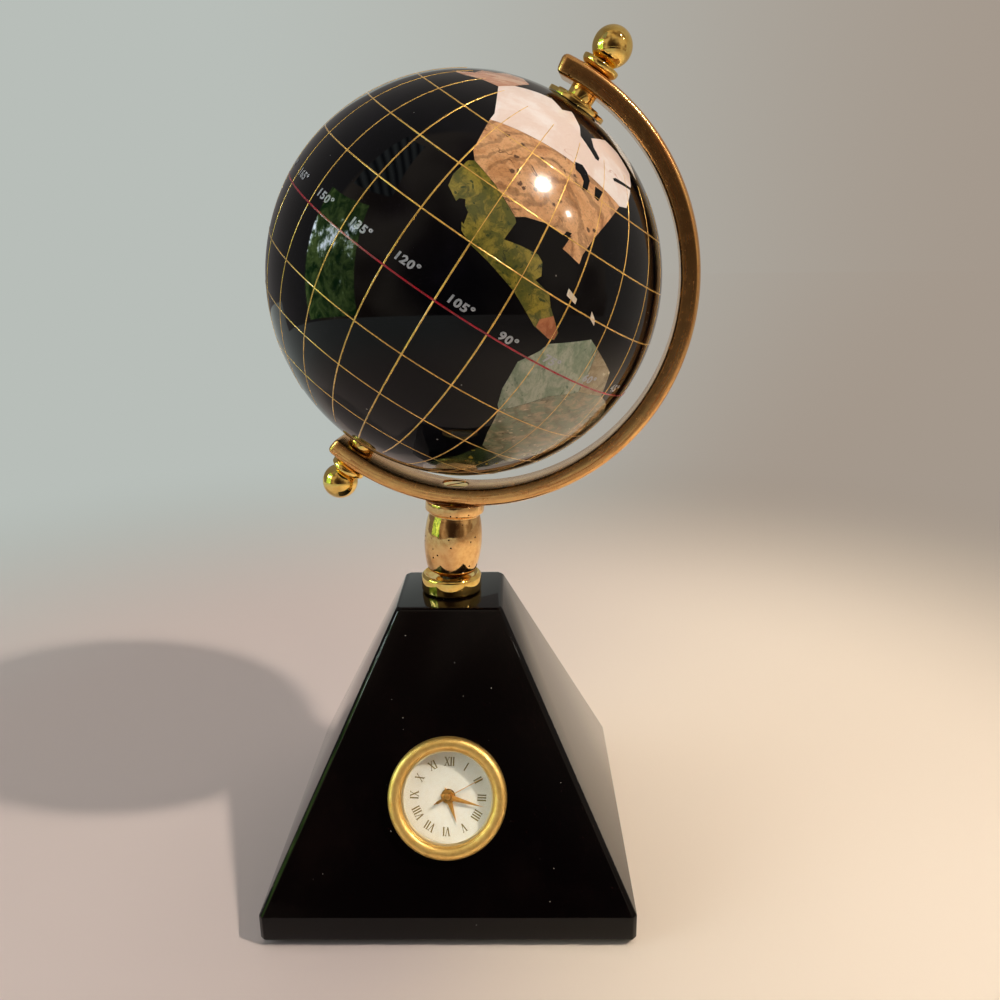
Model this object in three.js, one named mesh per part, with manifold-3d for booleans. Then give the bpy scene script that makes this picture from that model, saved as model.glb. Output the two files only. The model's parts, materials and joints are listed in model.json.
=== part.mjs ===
// Globe clock: a stone-inlaid globe on a tilted axis, carried by a bent arm and a
// turned stem on a pyramid base, with a small clock insert in the base's front face.
// Lengths are in millimetres and angles in degrees. +Z is up and the clock faces -Y.
// The origin is the middle of the felt's underside.

import * as THREE from 'three';
import { mergeVertices } from 'three/addons/utils/BufferGeometryUtils.js';
import Module from 'manifold-3d';

// Clearances
const seatGap = 0.3;
const runGap = 0.2;
const meshGap = 0.1;
const cutOverrun = 3;

// Base
const feltThickness = 0.8;
const feltInset = 3;
const baseWidth = 77.4;
const baseTopWidth = 23.2;
const baseHeight = 62.6;
const plinthHeight = 6.1;
const baseBevel = 0.9;
const nutRecessRadius = 6.5;
const nutRecessDepth = 7.5;

// Foot ring and stem, from the dish in the ring up to the arm
const stemLean = 4;
const armTurn = -7;
const footRadius = 6.7;
const footHeight = 4.3;
const footWaistRadius = 6.2;
const dishRadius = 5.9;
const dishDepth = 0.8;
const barrelFootRadius = 3.4;
const barrelEndRadius = 5.3;
const barrelBellyRadius = 6.4;
const barrelNeckRadius = 5.5;
const collarRadius = 6.5;
const collarHeight = 1.6;
const collarChamfer = 0.9;
const barrelFootHeight = 1.2;
const armGrooveDepth = 0.6;

// Tie rod through the base
const tieRodRadius = 2;
const tieRodHoleRadius = 2.6;
const tieRodInBarrel = 8;
const washerRadius = 5.2;
const washerThickness = 1;
const nutAcrossCorners = 8.1;
const nutThickness = 3.2;
const tieRodBelowNut = 0.8;

// Globe
const globeRadius = 40;
const layerThickness = 1.3;
const coreWall = 1.8;
const axisTilt = 30;
const globeTurn = 17.7;

// Meridian arm, and its height on the stem above the dish floor. The circle that it is bent
// to has its centre a little way from the globe's, towards the bow.
const armClearance = 2.95;
const armInnerRadius = globeRadius + armClearance;
const armUnderside = 17.4;
const armThickness = 3.95;
const armWidth = 9.5;
const armCrown = 1.6;
const armSquareness = 0.5;
const armCentreOut = 0.6;
const armPastTop = 6.4;
const armPastBottom = 5.3;

// Pole pivots
const axisRodRadius = 1.2;
const axisRodHoleRadius = 1.5;
const bushRadius = 3;
const bushLength = 4.5;
const flangeRadius = 6.15;
const flangeRim = 0.9;
const flangeStepRadius = 4.6;
const flangeStep = 0.5;
const spacerRadius = 2.7;
const southCollarRadius = 2.2;
const thrustRadius = 3;
const thrustThickness = 1.5;

// Ball finials and their cupped collars
const finialRadius = 3.87;
const finialStandoff = 5.15;
const finialNeckRadius = 2.2;
const finialNeckLength = 0.45;
const finialHoleDepth = 3.2;
const finialCollarRadius = 3.85;
const finialCollarHeight = 1.5;
const finialCupRadius = 3.3;
const finialCupDepth = 0.75;

// Arm screw
const screwHeadRadius = 2.8;
const screwHeadHeight = 1.1;
const screwShankRadius = 1.3;
const screwInBarrel = 5.5;
const slotWidth = 0.6;
const slotDepth = 0.5;
const slotTurn = 40;

// Clock insert: where it sits on the front face and how deep its bore is
const clockUpFace = 23.8;
const insertTurn = -2.5;
const boreRadius = 11.7;
const boreDepth = 12.5;

// Bezel, lens, dial ring and dial; heights are measured from the front face
const bezelRadius = 12.35;
const bezelLipRadius = 9.5;
const bezelHeight = 2.5;
const bezelLipHeight = 1.9;
const bezelRimHeight = 1.1;
const bezelCrestShare = 0.55;
const lensRadius = 9.9;
const lensThickness = 0.8;
const lensDome = 0.4;
const lensDomeRadius = 9.1;
const lensLift = 0.4;
const dialRingInnerRadius = 9;
const dialRadius = 9.9;
const dialThickness = 0.4;
const dialDrop = 1.4;

// Case and grip ring
const caseRadius = 10.7;
const caseWall = 0.5;
const caseDepth = 9.2;
const gripRadius = 11.4;
const gripWidth = 2.4;
const gripDrop = 3;

// Hands
const handThickness = 0.2;
const handGap = 0.25;
const hourHandLength = 5.5;
const hourHandTail = 2;
const hourHandWidth = 1.4;
const minuteHandLength = 7.7;
const minuteHandTail = 1.7;
const minuteHandWidth = 1.3;
const secondHandLength = 8.2;
const secondHandTail = 3.2;
const secondHandWidth = 0.25;
const counterweightWidth = 0.55;
const counterweightLength = 1.6;
const hourNow = 5;
const minuteNow = 17;
const secondNow = 10;

// Movement
const secondsArborRadius = 0.3;
const cannonRadius = 0.8;
const cannonHoleRadius = 0.5;
const hourPipeRadius = 1.3;
const hourPipeHoleRadius = 1;
const wheelThickness = 0.25;
const hourWheelRadius = 2.72;
const motionPinionRadius = 0.68;
const motionWheelRadius = 2.55;
const cannonPinionRadius = 0.95;
const centreWheelRadius = 1.9;
const thirdPinionRadius = 0.4;
const thirdWheelRadius = 1.8;
const secondsPinionRadius = 0.5;
const secondsWheelRadius = 1.9;
const rotorPinionRadius = 0.4;
const rotorRadius = 0.9;
const rotorThickness = 0.4;
const staffRadius = 0.25;
const toothDepth = 0.12;
const motionWheelBearing = 90;
const thirdWheelBearing = 200;
const rotorBearing = 320;
const plateRadius = 9.3;
const plateThickness = 0.8;
const boardThickness = 0.5;
const motionSpace = 1.45;
const trainSpace = 2.9;
const batteryRadius = 3.4;
const batteryThickness = 2.1;
const batteryOffset = 5.6;
const batteryBearing = 20;
const coilRadius = 0.9;
const coilLength = 6;
const coilOffset = 6.6;
const coilBearing = 270;
const statorWidth = 1.2;
const statorThickness = 0.7;
const knobRadius = 2;
const knobHeight = 1.4;
const knobShaftRadius = 0.5;
const knobPinionRadius = 0.85;

// Counts
const roundSides = 24;
const smallSides = 12;
const fineSides = 30;
const globeSides = 24;
const globeBands = 14;
const coreInsideBands = 3;
const armSteps = 32;
const grooveSteps = 3;
const crownSteps = 6;
const ballSteps = 7;
const ballSides = 18;
const barrelSteps = 5;
const bezelSteps = 3;
const slowTeeth = 20;
const pinionTeeth = 8;
const knobTeeth = 16;

const degrees = Math.PI / 180;
const handOverArbor = runGap / 2;

const wasm = await Module();
wasm.setup();

// Shapes

function closedGeometry(points, triangles) {
  const geometry = new THREE.BufferGeometry();
  geometry.setAttribute('position', new THREE.Float32BufferAttribute(points, 3));
  geometry.setIndex(triangles);
  return weld(geometry);
}

// Joins coincident corners and drops the triangles that collapse at a lathe's axis.
function weld(geometry) {
  geometry.deleteAttribute('normal');
  geometry.deleteAttribute('uv');
  const merged = mergeVertices(geometry);
  const index = merged.index.array;
  const kept = [];
  for (let i = 0; i < index.length; i += 3) {
    const [a, b, c] = [index[i], index[i + 1], index[i + 2]];
    if (a !== b && b !== c && c !== a) kept.push(a, b, c);
  }
  merged.setIndex(kept);
  merged.computeVertexNormals();
  return merged;
}

function toSolid(geometry) {
  const welded = weld(geometry.clone());
  return new wasm.Manifold(new wasm.Mesh({
    numProp: 3,
    vertProperties: new Float32Array(welded.attributes.position.array),
    triVerts: new Uint32Array(welded.index.array),
  }));
}

function toGeometry(solid) {
  const mesh = solid.getMesh();
  const geometry = new THREE.BufferGeometry();
  geometry.setAttribute('position', new THREE.BufferAttribute(new Float32Array(mesh.vertProperties), 3));
  geometry.setIndex(new THREE.BufferAttribute(new Uint32Array(mesh.triVerts), 1));
  geometry.computeVertexNormals();
  return geometry;
}

function cut(geometry, ...tools) {
  return toGeometry(tools.reduce((solid, tool) => solid.subtract(toSolid(tool)), toSolid(geometry)));
}

function join(geometry, ...others) {
  return toGeometry(others.reduce((solid, other) => solid.add(toSolid(other)), toSolid(geometry)));
}

// A body turned about +Z from [radius, height] points, listed anticlockwise.
function turned(profile, sides = roundSides) {
  const points = profile.map(([radius, height]) => new THREE.Vector2(radius, height));
  const lathe = new THREE.LatheGeometry(points, sides);
  lathe.rotateX(90 * degrees);
  return weld(lathe);
}

function rod(radius, low, high, sides = roundSides) {
  return turned([[0, low], [radius, low], [radius, high], [0, high]], sides);
}

function ring(hole, radius, low, high, sides = roundSides) {
  return turned([[hole, low], [radius, low], [radius, high], [hole, high], [hole, low]], sides);
}

// Points on an arc in the [radius, height] plane, its angle measured from +height.
function arcPoints(radius, from, to, steps) {
  const points = [];
  for (let i = 0; i <= steps; i++) {
    const angle = (from + (to - from) * i / steps) * degrees;
    points.push([radius * Math.sin(angle), radius * Math.cos(angle)]);
  }
  return points;
}

// A closed body through equal rings of points, each anticlockwise about the way it runs.
function loft(rings, capTriangles) {
  const count = rings[0].length;
  const points = rings.flat().flatMap((point) => [point.x, point.y, point.z]);
  const triangles = [];
  for (let i = 0; i + 1 < rings.length; i++) {
    for (let j = 0; j < count; j++) {
      const next = (j + 1) % count;
      const [a, b, c, d] = [i * count + j, i * count + next, (i + 1) * count + next, (i + 1) * count + j];
      triangles.push(a, b, c, a, c, d);
    }
  }
  const last = (rings.length - 1) * count;
  for (const [a, b, c] of capTriangles) {
    triangles.push(a, c, b, last + a, last + b, last + c);
  }
  return closedGeometry(points, triangles);
}

function fan(count) {
  return Array.from({ length: count - 2 }, (_, i) => [0, i + 1, i + 2]);
}

// An outline of [x, y] points, raised along +Z.
function plate(outline, low, high, holes = []) {
  const shape = new THREE.Shape(outline.map(([x, y]) => new THREE.Vector2(x, y)));
  for (const hole of holes) {
    shape.holes.push(new THREE.Path(hole.map(([x, y]) => new THREE.Vector2(x, y))));
  }
  const geometry = new THREE.ExtrudeGeometry(shape, { depth: high - low, bevelEnabled: false });
  geometry.translate(0, 0, low);
  return weld(geometry);
}

function circle(radius, count, x = 0, y = 0) {
  return Array.from({ length: count }, (_, i) => {
    const angle = i / count * 360 * degrees;
    return [x + radius * Math.cos(angle), y + radius * Math.sin(angle)];
  });
}

// A wheel's outline: its teeth stand inside the given radius.
function toothed(radius, teeth) {
  return Array.from({ length: 2 * teeth }, (_, i) => {
    const angle = i / teeth * 180 * degrees;
    const reach = i % 2 ? radius - toothDepth : radius;
    return [reach * Math.cos(angle), reach * Math.sin(angle)];
  });
}

function add(group, name, geometry, material) {
  const mesh = new THREE.Mesh(geometry, material);
  mesh.name = name;
  group.add(mesh);
  return mesh;
}

// Materials

function material(color, roughness, metalness = 0) {
  return new THREE.MeshStandardMaterial({ color, roughness, metalness });
}

const blackStone = () => material(0x0b090a, 0.08);
const goldPlate = () => material(0xd9a640, 0.15, 1);
const brassWork = () => material(0xc79a4a, 0.3, 1);
const steel = () => material(0xb9bcc0, 0.35, 1);

// Frames

const globeClock = new THREE.Group();

// The dish floor on top of the foot ring, about which the stem and all above it lean.
const topOfStone = feltThickness + baseHeight;
const dishFloor = topOfStone + footHeight - dishDepth;
const upperFrame = new THREE.Group();
upperFrame.position.set(0, 0, dishFloor);
upperFrame.rotation.set(0, stemLean * degrees, armTurn * degrees, 'ZYX');
upperFrame.updateMatrix();

// The globe's centre, with +Z along its axis and the arm in the XZ plane.
const armOuterRadius = armInnerRadius + armThickness;
const armOutAtStem = armCentreOut * Math.sin(axisTilt * degrees);
const armOutAcrossStem = armCentreOut * Math.cos(axisTilt * degrees);
const globeRise = armUnderside + armOuterRadius + armOutAtStem;
const globeFrame = new THREE.Group();
globeFrame.position.set(0, 0, globeRise);
globeFrame.rotation.y = axisTilt * degrees;
upperFrame.add(globeFrame);

// The globe itself, turned so that longitude 0 lies along its own +X.
const spinFrame = new THREE.Group();
spinFrame.rotation.z = globeTurn * degrees;
globeFrame.add(spinFrame);

// The clock's centre on the front face, with +Z out of the face and +Y up it.
const faceRun = (baseWidth - baseTopWidth) / 2;
const faceRise = baseHeight - plinthHeight;
const faceLean = Math.atan2(faceRun, faceRise);
const clockFrame = new THREE.Group();
clockFrame.position.set(
  0,
  clockUpFace * Math.sin(faceLean) - baseWidth / 2,
  feltThickness + plinthHeight + clockUpFace * Math.cos(faceLean),
);
clockFrame.rotation.set(90 * degrees - faceLean, 0, insertTurn * degrees);
clockFrame.updateMatrix();

globeClock.add(upperFrame, clockFrame);

// Base block, felt and tie rod

function squareRing(halfWidth, cornerCut, z) {
  const near = halfWidth - cornerCut;
  return [
    [near, -halfWidth], [halfWidth, -near], [halfWidth, near], [near, halfWidth],
    [-near, halfWidth], [-halfWidth, near], [-halfWidth, -near], [-near, -halfWidth],
  ].map(([x, y]) => new THREE.Vector3(x, y, z));
}

// Heights along the leaning rod, measured from the dish floor.
const undersideDrop = (dishFloor - feltThickness) / Math.cos(stemLean * degrees);
const recessFloor = nutRecessDepth - undersideDrop;
const washerTop = recessFloor - seatGap;
const nutTop = washerTop - washerThickness - seatGap;
const tieRodBottom = nutTop - nutThickness - tieRodBelowNut;

function baseBlock() {
  const half = baseWidth / 2;
  const topHalf = baseTopWidth / 2;
  const low = feltThickness;
  const levels = [
    [half - baseBevel, low],
    [half, low + baseBevel],
    [half, low + plinthHeight],
    [topHalf, topOfStone - baseBevel / 2],
    [topHalf - baseBevel / 2, topOfStone],
  ];
  const block = loft(levels.map(([width, z]) => squareRing(width, baseBevel, z)), fan(8));
  const clockBore = rod(boreRadius, -boreDepth, cutOverrun);
  clockBore.applyMatrix4(clockFrame.matrix);
  const rodHole = rod(tieRodHoleRadius, recessFloor - cutOverrun, footHeight + cutOverrun);
  rodHole.applyMatrix4(upperFrame.matrix);
  const nutRecess = rod(nutRecessRadius, recessFloor - nutRecessDepth - cutOverrun, recessFloor);
  nutRecess.applyMatrix4(upperFrame.matrix);
  return cut(block, clockBore, rodHole, nutRecess);
}

function feltPad() {
  const half = baseWidth / 2 - feltInset;
  return loft([squareRing(half, feltInset, 0), squareRing(half, feltInset, feltThickness)], fan(8));
}

add(globeClock, 'base_block', baseBlock(), blackStone());
add(globeClock, 'felt_pad', feltPad(), material(0x1d3a2a, 0.95));
add(upperFrame, 'tie_rod', rod(tieRodRadius, tieRodBottom, tieRodInBarrel, smallSides), steel());
add(upperFrame, 'rod_washer',
  ring(tieRodRadius + seatGap, washerRadius, washerTop - washerThickness, washerTop), steel());
add(upperFrame, 'rod_nut',
  plate(circle(nutAcrossCorners / 2, 6), nutTop - nutThickness, nutTop,
    [circle(tieRodRadius + seatGap, smallSides)]), steel());

// Foot ring and stem barrel

function footRing() {
  const top = topOfStone + footHeight;
  const floor = top - dishDepth;
  const bead = footRadius - footWaistRadius;
  return turned([
    [tieRodHoleRadius, topOfStone],
    [footWaistRadius, topOfStone],
    [footRadius, topOfStone + bead],
    [footRadius, top - bead],
    [footWaistRadius, top],
    [dishRadius, top],
    [barrelFootRadius + seatGap, floor],
    [tieRodHoleRadius, floor],
    [tieRodHoleRadius, topOfStone],
  ]);
}

function stemBarrel() {
  const foot = seatGap + barrelFootRadius * Math.sin(stemLean * degrees);
  const lowEdge = foot + barrelFootHeight;
  const collarTop = armUnderside - seatGap + armGrooveDepth;
  const collarLow = collarTop - collarHeight;
  const neck = collarLow - collarChamfer;
  const swelling = barrelBellyRadius - (barrelEndRadius + barrelNeckRadius) / 2;
  const belly = [];
  for (let i = 0; i <= barrelSteps; i++) {
    const share = i / barrelSteps;
    const straight = barrelEndRadius + (barrelNeckRadius - barrelEndRadius) * share;
    belly.push([straight + swelling * Math.sin(Math.PI * share), lowEdge + (neck - lowEdge) * share]);
  }
  const profile = [
    [0, foot],
    [barrelFootRadius, foot],
    ...belly,
    [collarRadius, collarLow],
    [collarRadius, collarTop],
    [0, collarTop],
  ];
  const rodHole = rod(tieRodRadius + seatGap, -cutOverrun, tieRodInBarrel + seatGap, smallSides);
  const screwHole = rod(screwShankRadius + seatGap,
    armUnderside - screwInBarrel - seatGap, collarTop + cutOverrun, smallSides);
  const groove = armBand(seatGap, 180 - grooveReach, 180 + grooveReach, grooveSteps);
  groove.translate(armOutAcrossStem, 0, globeRise - armOutAtStem);
  return cut(turned(profile), rodHole, screwHole, groove);
}

add(globeClock, 'foot_ring', footRing(), goldPlate());

// Meridian arm

// A stretch of the arm's section, flat inside and crowned with round edges outside, grown
// by a clearance, between two angles from +Z.
function armBand(grow, from, to, steps) {
  const half = armWidth / 2 + grow;
  const inner = armInnerRadius - grow;
  const shoulder = armOuterRadius - armCrown;
  const crown = armCrown + grow;
  const section = [[inner, -half], [shoulder, -half]];
  for (let i = 1; i < crownSteps; i++) {
    const angle = i / crownSteps * 180 * degrees;
    const up = Math.sin(angle) ** armSquareness;
    const across = -Math.sign(Math.cos(angle)) * Math.abs(Math.cos(angle)) ** armSquareness;
    section.push([shoulder + crown * up, half * across]);
  }
  section.push([shoulder, half], [inner, half]);
  const rings = [];
  for (let i = 0; i <= steps; i++) {
    const angle = (from + (to - from) * i / steps) * degrees;
    rings.push(section.map(([reach, side]) => new THREE.Vector3(
      reach * Math.sin(angle), -side, reach * Math.cos(angle))));
  }
  return loft(rings, fan(section.length));
}

const armMiddleRadius = armInnerRadius + armThickness / 2;
const armFrom = -Math.asin((armPastTop + armCentreOut) / armMiddleRadius) / degrees;
const armTo = 180 + Math.asin((armPastBottom + armCentreOut) / armMiddleRadius) / degrees;
const grooveReach = 2 * Math.asin(collarRadius / armMiddleRadius) / degrees;
const stemBearing = 180 - axisTilt;
const screwHeadIn = armInnerRadius + armOutAtStem + meshGap;
const screwHeadOut = screwHeadIn + screwHeadHeight;

function meridianArm() {
  const holeStart = armInnerRadius - cutOverrun;
  const holeEnd = armOuterRadius + armOutAtStem + cutOverrun;
  const pivotHole = rod(axisRodHoleRadius, holeStart, holeEnd, smallSides);
  const southHole = pivotHole.clone().rotateY(180 * degrees);
  const screwHole = rod(screwShankRadius + seatGap, holeStart, holeEnd, smallSides);
  const headRecess = rod(screwHeadRadius + seatGap / 2, holeStart, screwHeadOut + seatGap);
  screwHole.rotateY(stemBearing * degrees);
  headRecess.rotateY(stemBearing * degrees);
  const band = armBand(0, armFrom, armTo, armSteps);
  band.translate(armCentreOut, 0, 0);
  return cut(band, pivotHole, southHole, screwHole, headRecess);
}

function armScrew() {
  const shankEnd = armOuterRadius + armOutAtStem + screwInBarrel;
  const body = turned([
    [0, screwHeadIn],
    [screwHeadRadius, screwHeadIn],
    [screwHeadRadius, screwHeadOut],
    [screwShankRadius, screwHeadOut],
    [screwShankRadius, shankEnd],
    [0, shankEnd],
  ]);
  const slot = new THREE.BoxGeometry(slotWidth, 3 * screwHeadRadius, 2 * slotDepth);
  slot.rotateZ(slotTurn * degrees);
  slot.translate(0, 0, screwHeadIn);
  return cut(body, slot).rotateY(stemBearing * degrees);
}

add(upperFrame, 'stem_barrel', stemBarrel(), goldPlate());
add(globeFrame, 'meridian_arm', meridianArm(), goldPlate());
add(globeFrame, 'arm_screw', armScrew(), brassWork());

// Pole pivots and finials

const finialCentre = armOuterRadius + finialStandoff;
const finialCollarLow = armOuterRadius + seatGap;
const rodReach = finialCentre - finialRadius + finialHoleDepth - seatGap;

function ballFinial() {
  const neckLow = finialCollarLow + finialCollarHeight - finialCupDepth + seatGap;
  const neckHigh = neckLow + finialNeckLength;
  const joinAngle = 180 - Math.asin(finialNeckRadius / finialRadius) / degrees;
  const ball = arcPoints(finialRadius, joinAngle, 0, ballSteps)
    .map(([radius, height]) => [radius, finialCentre + height])
    .filter(([, height]) => height > neckHigh);
  const neck = [[0, neckLow], [finialNeckRadius, neckLow], [finialNeckRadius, neckHigh]];
  const body = turned([...neck, ...ball], ballSides);
  const hole = rod(axisRodHoleRadius, neckLow - cutOverrun, rodReach + seatGap, smallSides);
  return cut(body, hole);
}

function cuppedCollar() {
  const top = finialCollarLow + finialCollarHeight;
  return turned([
    [axisRodHoleRadius, finialCollarLow],
    [finialNeckRadius, finialCollarLow],
    [finialCollarRadius, finialCollarLow + finialCupDepth],
    [finialCollarRadius, top],
    [finialCupRadius, top],
    [finialNeckRadius + seatGap, top - finialCupDepth],
    [axisRodHoleRadius, top - finialCupDepth],
    [axisRodHoleRadius, finialCollarLow],
  ], ballSides);
}

const atSouth = (geometry) => geometry.rotateX(180 * degrees);

add(globeFrame, 'axis_rod', rod(axisRodRadius, -rodReach, rodReach, smallSides), steel());
add(globeFrame, 'top_finial', ballFinial(), goldPlate());
add(globeFrame, 'top_finial_collar', cuppedCollar(), goldPlate());
add(globeFrame, 'bottom_finial', atSouth(ballFinial()), goldPlate());
add(globeFrame, 'bottom_finial_collar', atSouth(cuppedCollar()), goldPlate());

const sphereHeight = (radius, offset) => Math.sqrt((globeRadius + offset) ** 2 - radius ** 2);
const flangeTop = sphereHeight(flangeRadius, seatGap) + flangeRim;

function northFlange() {
  const hole = axisRodHoleRadius;
  return turned([
    [hole, sphereHeight(hole, seatGap)],
    [bushRadius, sphereHeight(bushRadius, seatGap)],
    [flangeStepRadius, sphereHeight(flangeStepRadius, seatGap)],
    [flangeRadius, sphereHeight(flangeRadius, seatGap)],
    [flangeRadius, flangeTop],
    [flangeStepRadius, flangeTop],
    [flangeStepRadius, flangeTop + flangeStep],
    [hole, flangeTop + flangeStep],
    [hole, sphereHeight(hole, seatGap)],
  ]);
}

const coreOuter = globeRadius - layerThickness - seatGap;
const coreInner = coreOuter - coreWall;
const bushTop = globeRadius;
const thrustInner = armInnerRadius - seatGap - thrustThickness;

add(globeFrame, 'top_spacer',
  ring(axisRodHoleRadius, spacerRadius, flangeTop + flangeStep + seatGap, armInnerRadius - seatGap),
  goldPlate());
add(globeFrame, 'bottom_thrust_washer',
  atSouth(ring(axisRodHoleRadius, thrustRadius, thrustInner, armInnerRadius - seatGap)), goldPlate());
add(spinFrame, 'north_flange', northFlange(), goldPlate());
add(spinFrame, 'north_bush',
  ring(axisRodHoleRadius, bushRadius, bushTop - bushLength, sphereHeight(bushRadius, 0)),
  material(0xe8e4d8, 0.5));
add(spinFrame, 'south_bush', atSouth(turned([
  [axisRodHoleRadius, bushTop - bushLength],
  [bushRadius, bushTop - bushLength],
  [bushRadius, sphereHeight(bushRadius, 0)],
  [southCollarRadius, sphereHeight(bushRadius, 0)],
  [southCollarRadius, thrustInner - seatGap],
  [axisRodHoleRadius, thrustInner - seatGap],
  [axisRodHoleRadius, bushTop - bushLength],
])), material(0x15120f, 0.4));

// Globe core and ocean layer

const poleHoleRadius = bushRadius + seatGap;

// The angle from the pole at which a sphere meets the pole's hole.
const poleAngle = (radius) => Math.asin(poleHoleRadius / radius) / degrees;

function shell(outer, inner, from, to, bands, insideBands) {
  const outside = arcPoints(outer, from(outer), to(outer), bands);
  const inside = arcPoints(inner, to(inner), from(inner), insideBands);
  return turned([...outside, ...inside, outside[0]], globeSides);
}

const halfGapAngle = (radius) => Math.asin(seatGap / 2 / radius) / degrees;

function coreHalf() {
  return shell(coreOuter, coreInner, (radius) => 90 - halfGapAngle(radius), poleAngle,
    globeBands / 2, coreInsideBands);
}

add(spinFrame, 'core_north', coreHalf(), material(0xcfc8b8, 0.7));
add(spinFrame, 'core_south', atSouth(coreHalf()), material(0xcfc8b8, 0.7));

const layerInner = globeRadius - layerThickness;
const layer = toSolid(shell(globeRadius, layerInner, (radius) => 180 - poleAngle(radius), poleAngle,
  globeBands, globeBands));

// Land outlines as [degrees east, degrees north], cut where one stone meets the next.
const land = {
  land_alaska: [0xd9a88f, [
    [-139.5, 58], [-138, 63], [-141, 69.5], [-156, 71], [-166, 67.5], [-161, 64], [-165.5, 60.5],
    [-160, 57.5], [-165, 53], [-157, 54], [-149, 56.5],
  ]],
  land_canada: [0xe8cdbd, [
    [-139.5, 58], [-125, 48], [-124, 45.5], [-66, 46.5], [-61.5, 47.5], [-55, 56], [-52, 60.5],
    [-58.5, 66], [-69.5, 68], [-83.5, 63.5], [-80, 56], [-90.5, 61], [-92, 65], [-101, 70.5],
    [-107, 67.5], [-119, 70], [-128, 68], [-138, 63],
  ]],
  land_united_states: [0xb08a5e, [
    [-124, 45.5], [-119.5, 35], [-117, 33], [-108.5, 31], [-99, 27], [-96.5, 28.5], [-91, 30],
    [-85, 30], [-82.5, 31], [-83.5, 27], [-77, 26], [-77, 28.5], [-75, 34], [-66, 46.5],
  ]],
  land_central_america: [0x8d8a2c, [
    [-118.5, 32], [-119, 27], [-118, 24], [-111, 20.5], [-108.5, 17], [-105, 15.5], [-99, 14.5],
    [-90, 12], [-81, 7.5], [-75.5, 6.5], [-74, 7], [-74, 9], [-79.5, 13.5], [-81.5, 16], [-86.5, 17],
    [-85.5, 18.5], [-87, 21.5], [-89, 22.5], [-94, 22], [-98.5, 21], [-98, 26], [-99, 27],
    [-108.5, 31], [-117, 33],
  ]],
  land_greenland: [0xefe9e2, [
    [-44, 60], [-40, 65], [-23, 70.5], [-19, 78], [-35, 80], [-62, 80], [-70, 77], [-56, 74],
    [-53, 67],
  ]],
  land_andes: [0x6f7f6a, [
    [-75, 5.5], [-76, 3], [-79.5, -2], [-78.5, -10], [-76.5, -14.5], [-75, -16], [-65.5, -6.5],
    [-57, -2], [-59.5, 10], [-63.5, 11.5],
  ]],
  land_guiana: [0xd8ccae, [[-59.5, 10], [-57, -2], [-46, -1], [-49.5, 6]]],
  land_brazil: [0xd9b296, [
    [-57, -2], [-65.5, -6.5], [-75, -16], [-72, -24], [-69, -29], [-52, -32.5], [-48.5, -28],
    [-41, -22], [-39, -15], [-35, -9], [-35, -6], [-40, -2.5], [-46, -1],
  ]],
  land_pampas: [0x3d4a26, [
    [-69, -29], [-71, -37], [-74, -44], [-73.5, -51], [-68, -55], [-66, -48], [-60, -43],
    [-56, -38.5], [-52, -32.5],
  ]],
  land_north_africa: [0xc79f5d, [
    [10, 5], [35, 5], [43, 11.5], [37, 20], [32.5, 30.5], [20, 31.5], [10, 36.5], [-6, 35], [-16, 24],
    [-16.5, 13.5], [-8, 5],
  ]],
  land_southern_africa: [0x7b3b2b, [
    [35, 5], [10, 5], [9.5, -1], [13.5, -10], [12.5, -18], [18.5, -34], [27, -33.5], [35, -24],
    [40.5, -14], [40, -3], [50, 10.5], [43, 11.5],
  ]],
  land_europe: [0x5f8f86, [
    [28, 41], [40, 47], [40, 61], [30, 61], [21, 55.5], [10, 57], [7.5, 54], [-4, 48.5], [-1.5, 44],
    [-9, 43], [-9, 37.5], [-1, 37], [4, 43], [12, 44], [17, 39.5], [24, 37.5],
  ]],
  land_russia: [0xa9c4b4, [
    [40, 61], [40, 47], [49, 49], [62, 54], [88, 49.5], [120, 50], [132, 43], [141, 52], [156, 59],
    [157, 51.5], [163, 57], [178, 64], [178, 69], [140, 72.5], [113, 74], [68, 69], [28, 71],
    [5.5, 61], [11, 58.5], [23, 65.5], [30, 61],
  ]],
  land_east_asia: [0x9a4a34, [
    [62, 54], [49, 49], [53, 40], [61, 36.5], [74, 35], [88, 28], [98, 25], [108, 21.5], [118, 24],
    [122, 31], [118.5, 38.5], [126.5, 36], [132, 43], [120, 50], [88, 49.5],
  ]],
  land_south_asia: [0x55705f, [
    [61, 36.5], [53, 40], [36, 36.5], [34.5, 28.5], [43.5, 13], [59, 22], [52, 25.5], [67, 24.5],
    [77.5, 8.5], [80.5, 15], [91, 22.5], [94.5, 16], [103, 2], [109, 12], [108, 21.5], [98, 25],
    [88, 28], [74, 35],
  ]],
  land_australasia: [0xb86b3a, [
    [114, -22], [122, -18], [130, -12], [136, -13], [140, -17.5], [142.5, -11.5], [146, -19],
    [153, -26], [150, -37], [141, -38], [131, -31.5], [124, -33], [115.5, -34],
  ]],
};

function direction([east, north]) {
  const flat = Math.cos(north * degrees);
  return new THREE.Vector3(
    flat * Math.cos(east * degrees), flat * Math.sin(east * degrees), Math.sin(north * degrees));
}

// The outline's corners moved outward by a share of the globe's radius, anticlockwise.
function movedCorners(corners, share) {
  return corners.map((corner, i) => {
    const before = corners.at(i - 1).clone().cross(corner).normalize();
    const after = corner.clone().cross(corners[(i + 1) % corners.length]).normalize();
    const inPlane = -share / (1 + before.dot(after));
    const sideways = before.add(after).multiplyScalar(inPlane);
    const along = Math.sqrt(1 - sideways.lengthSq());
    const upright = corner.clone().addScaledVector(sideways, -corner.dot(sideways) / sideways.lengthSq());
    return upright.normalize().multiplyScalar(along).add(sideways);
  });
}

// A spike from inside the core to outside the globe, whose walls all pass through its centre.
const spikeInnerShare = 0.4;
const spikeOuterShare = 1.2;

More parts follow.
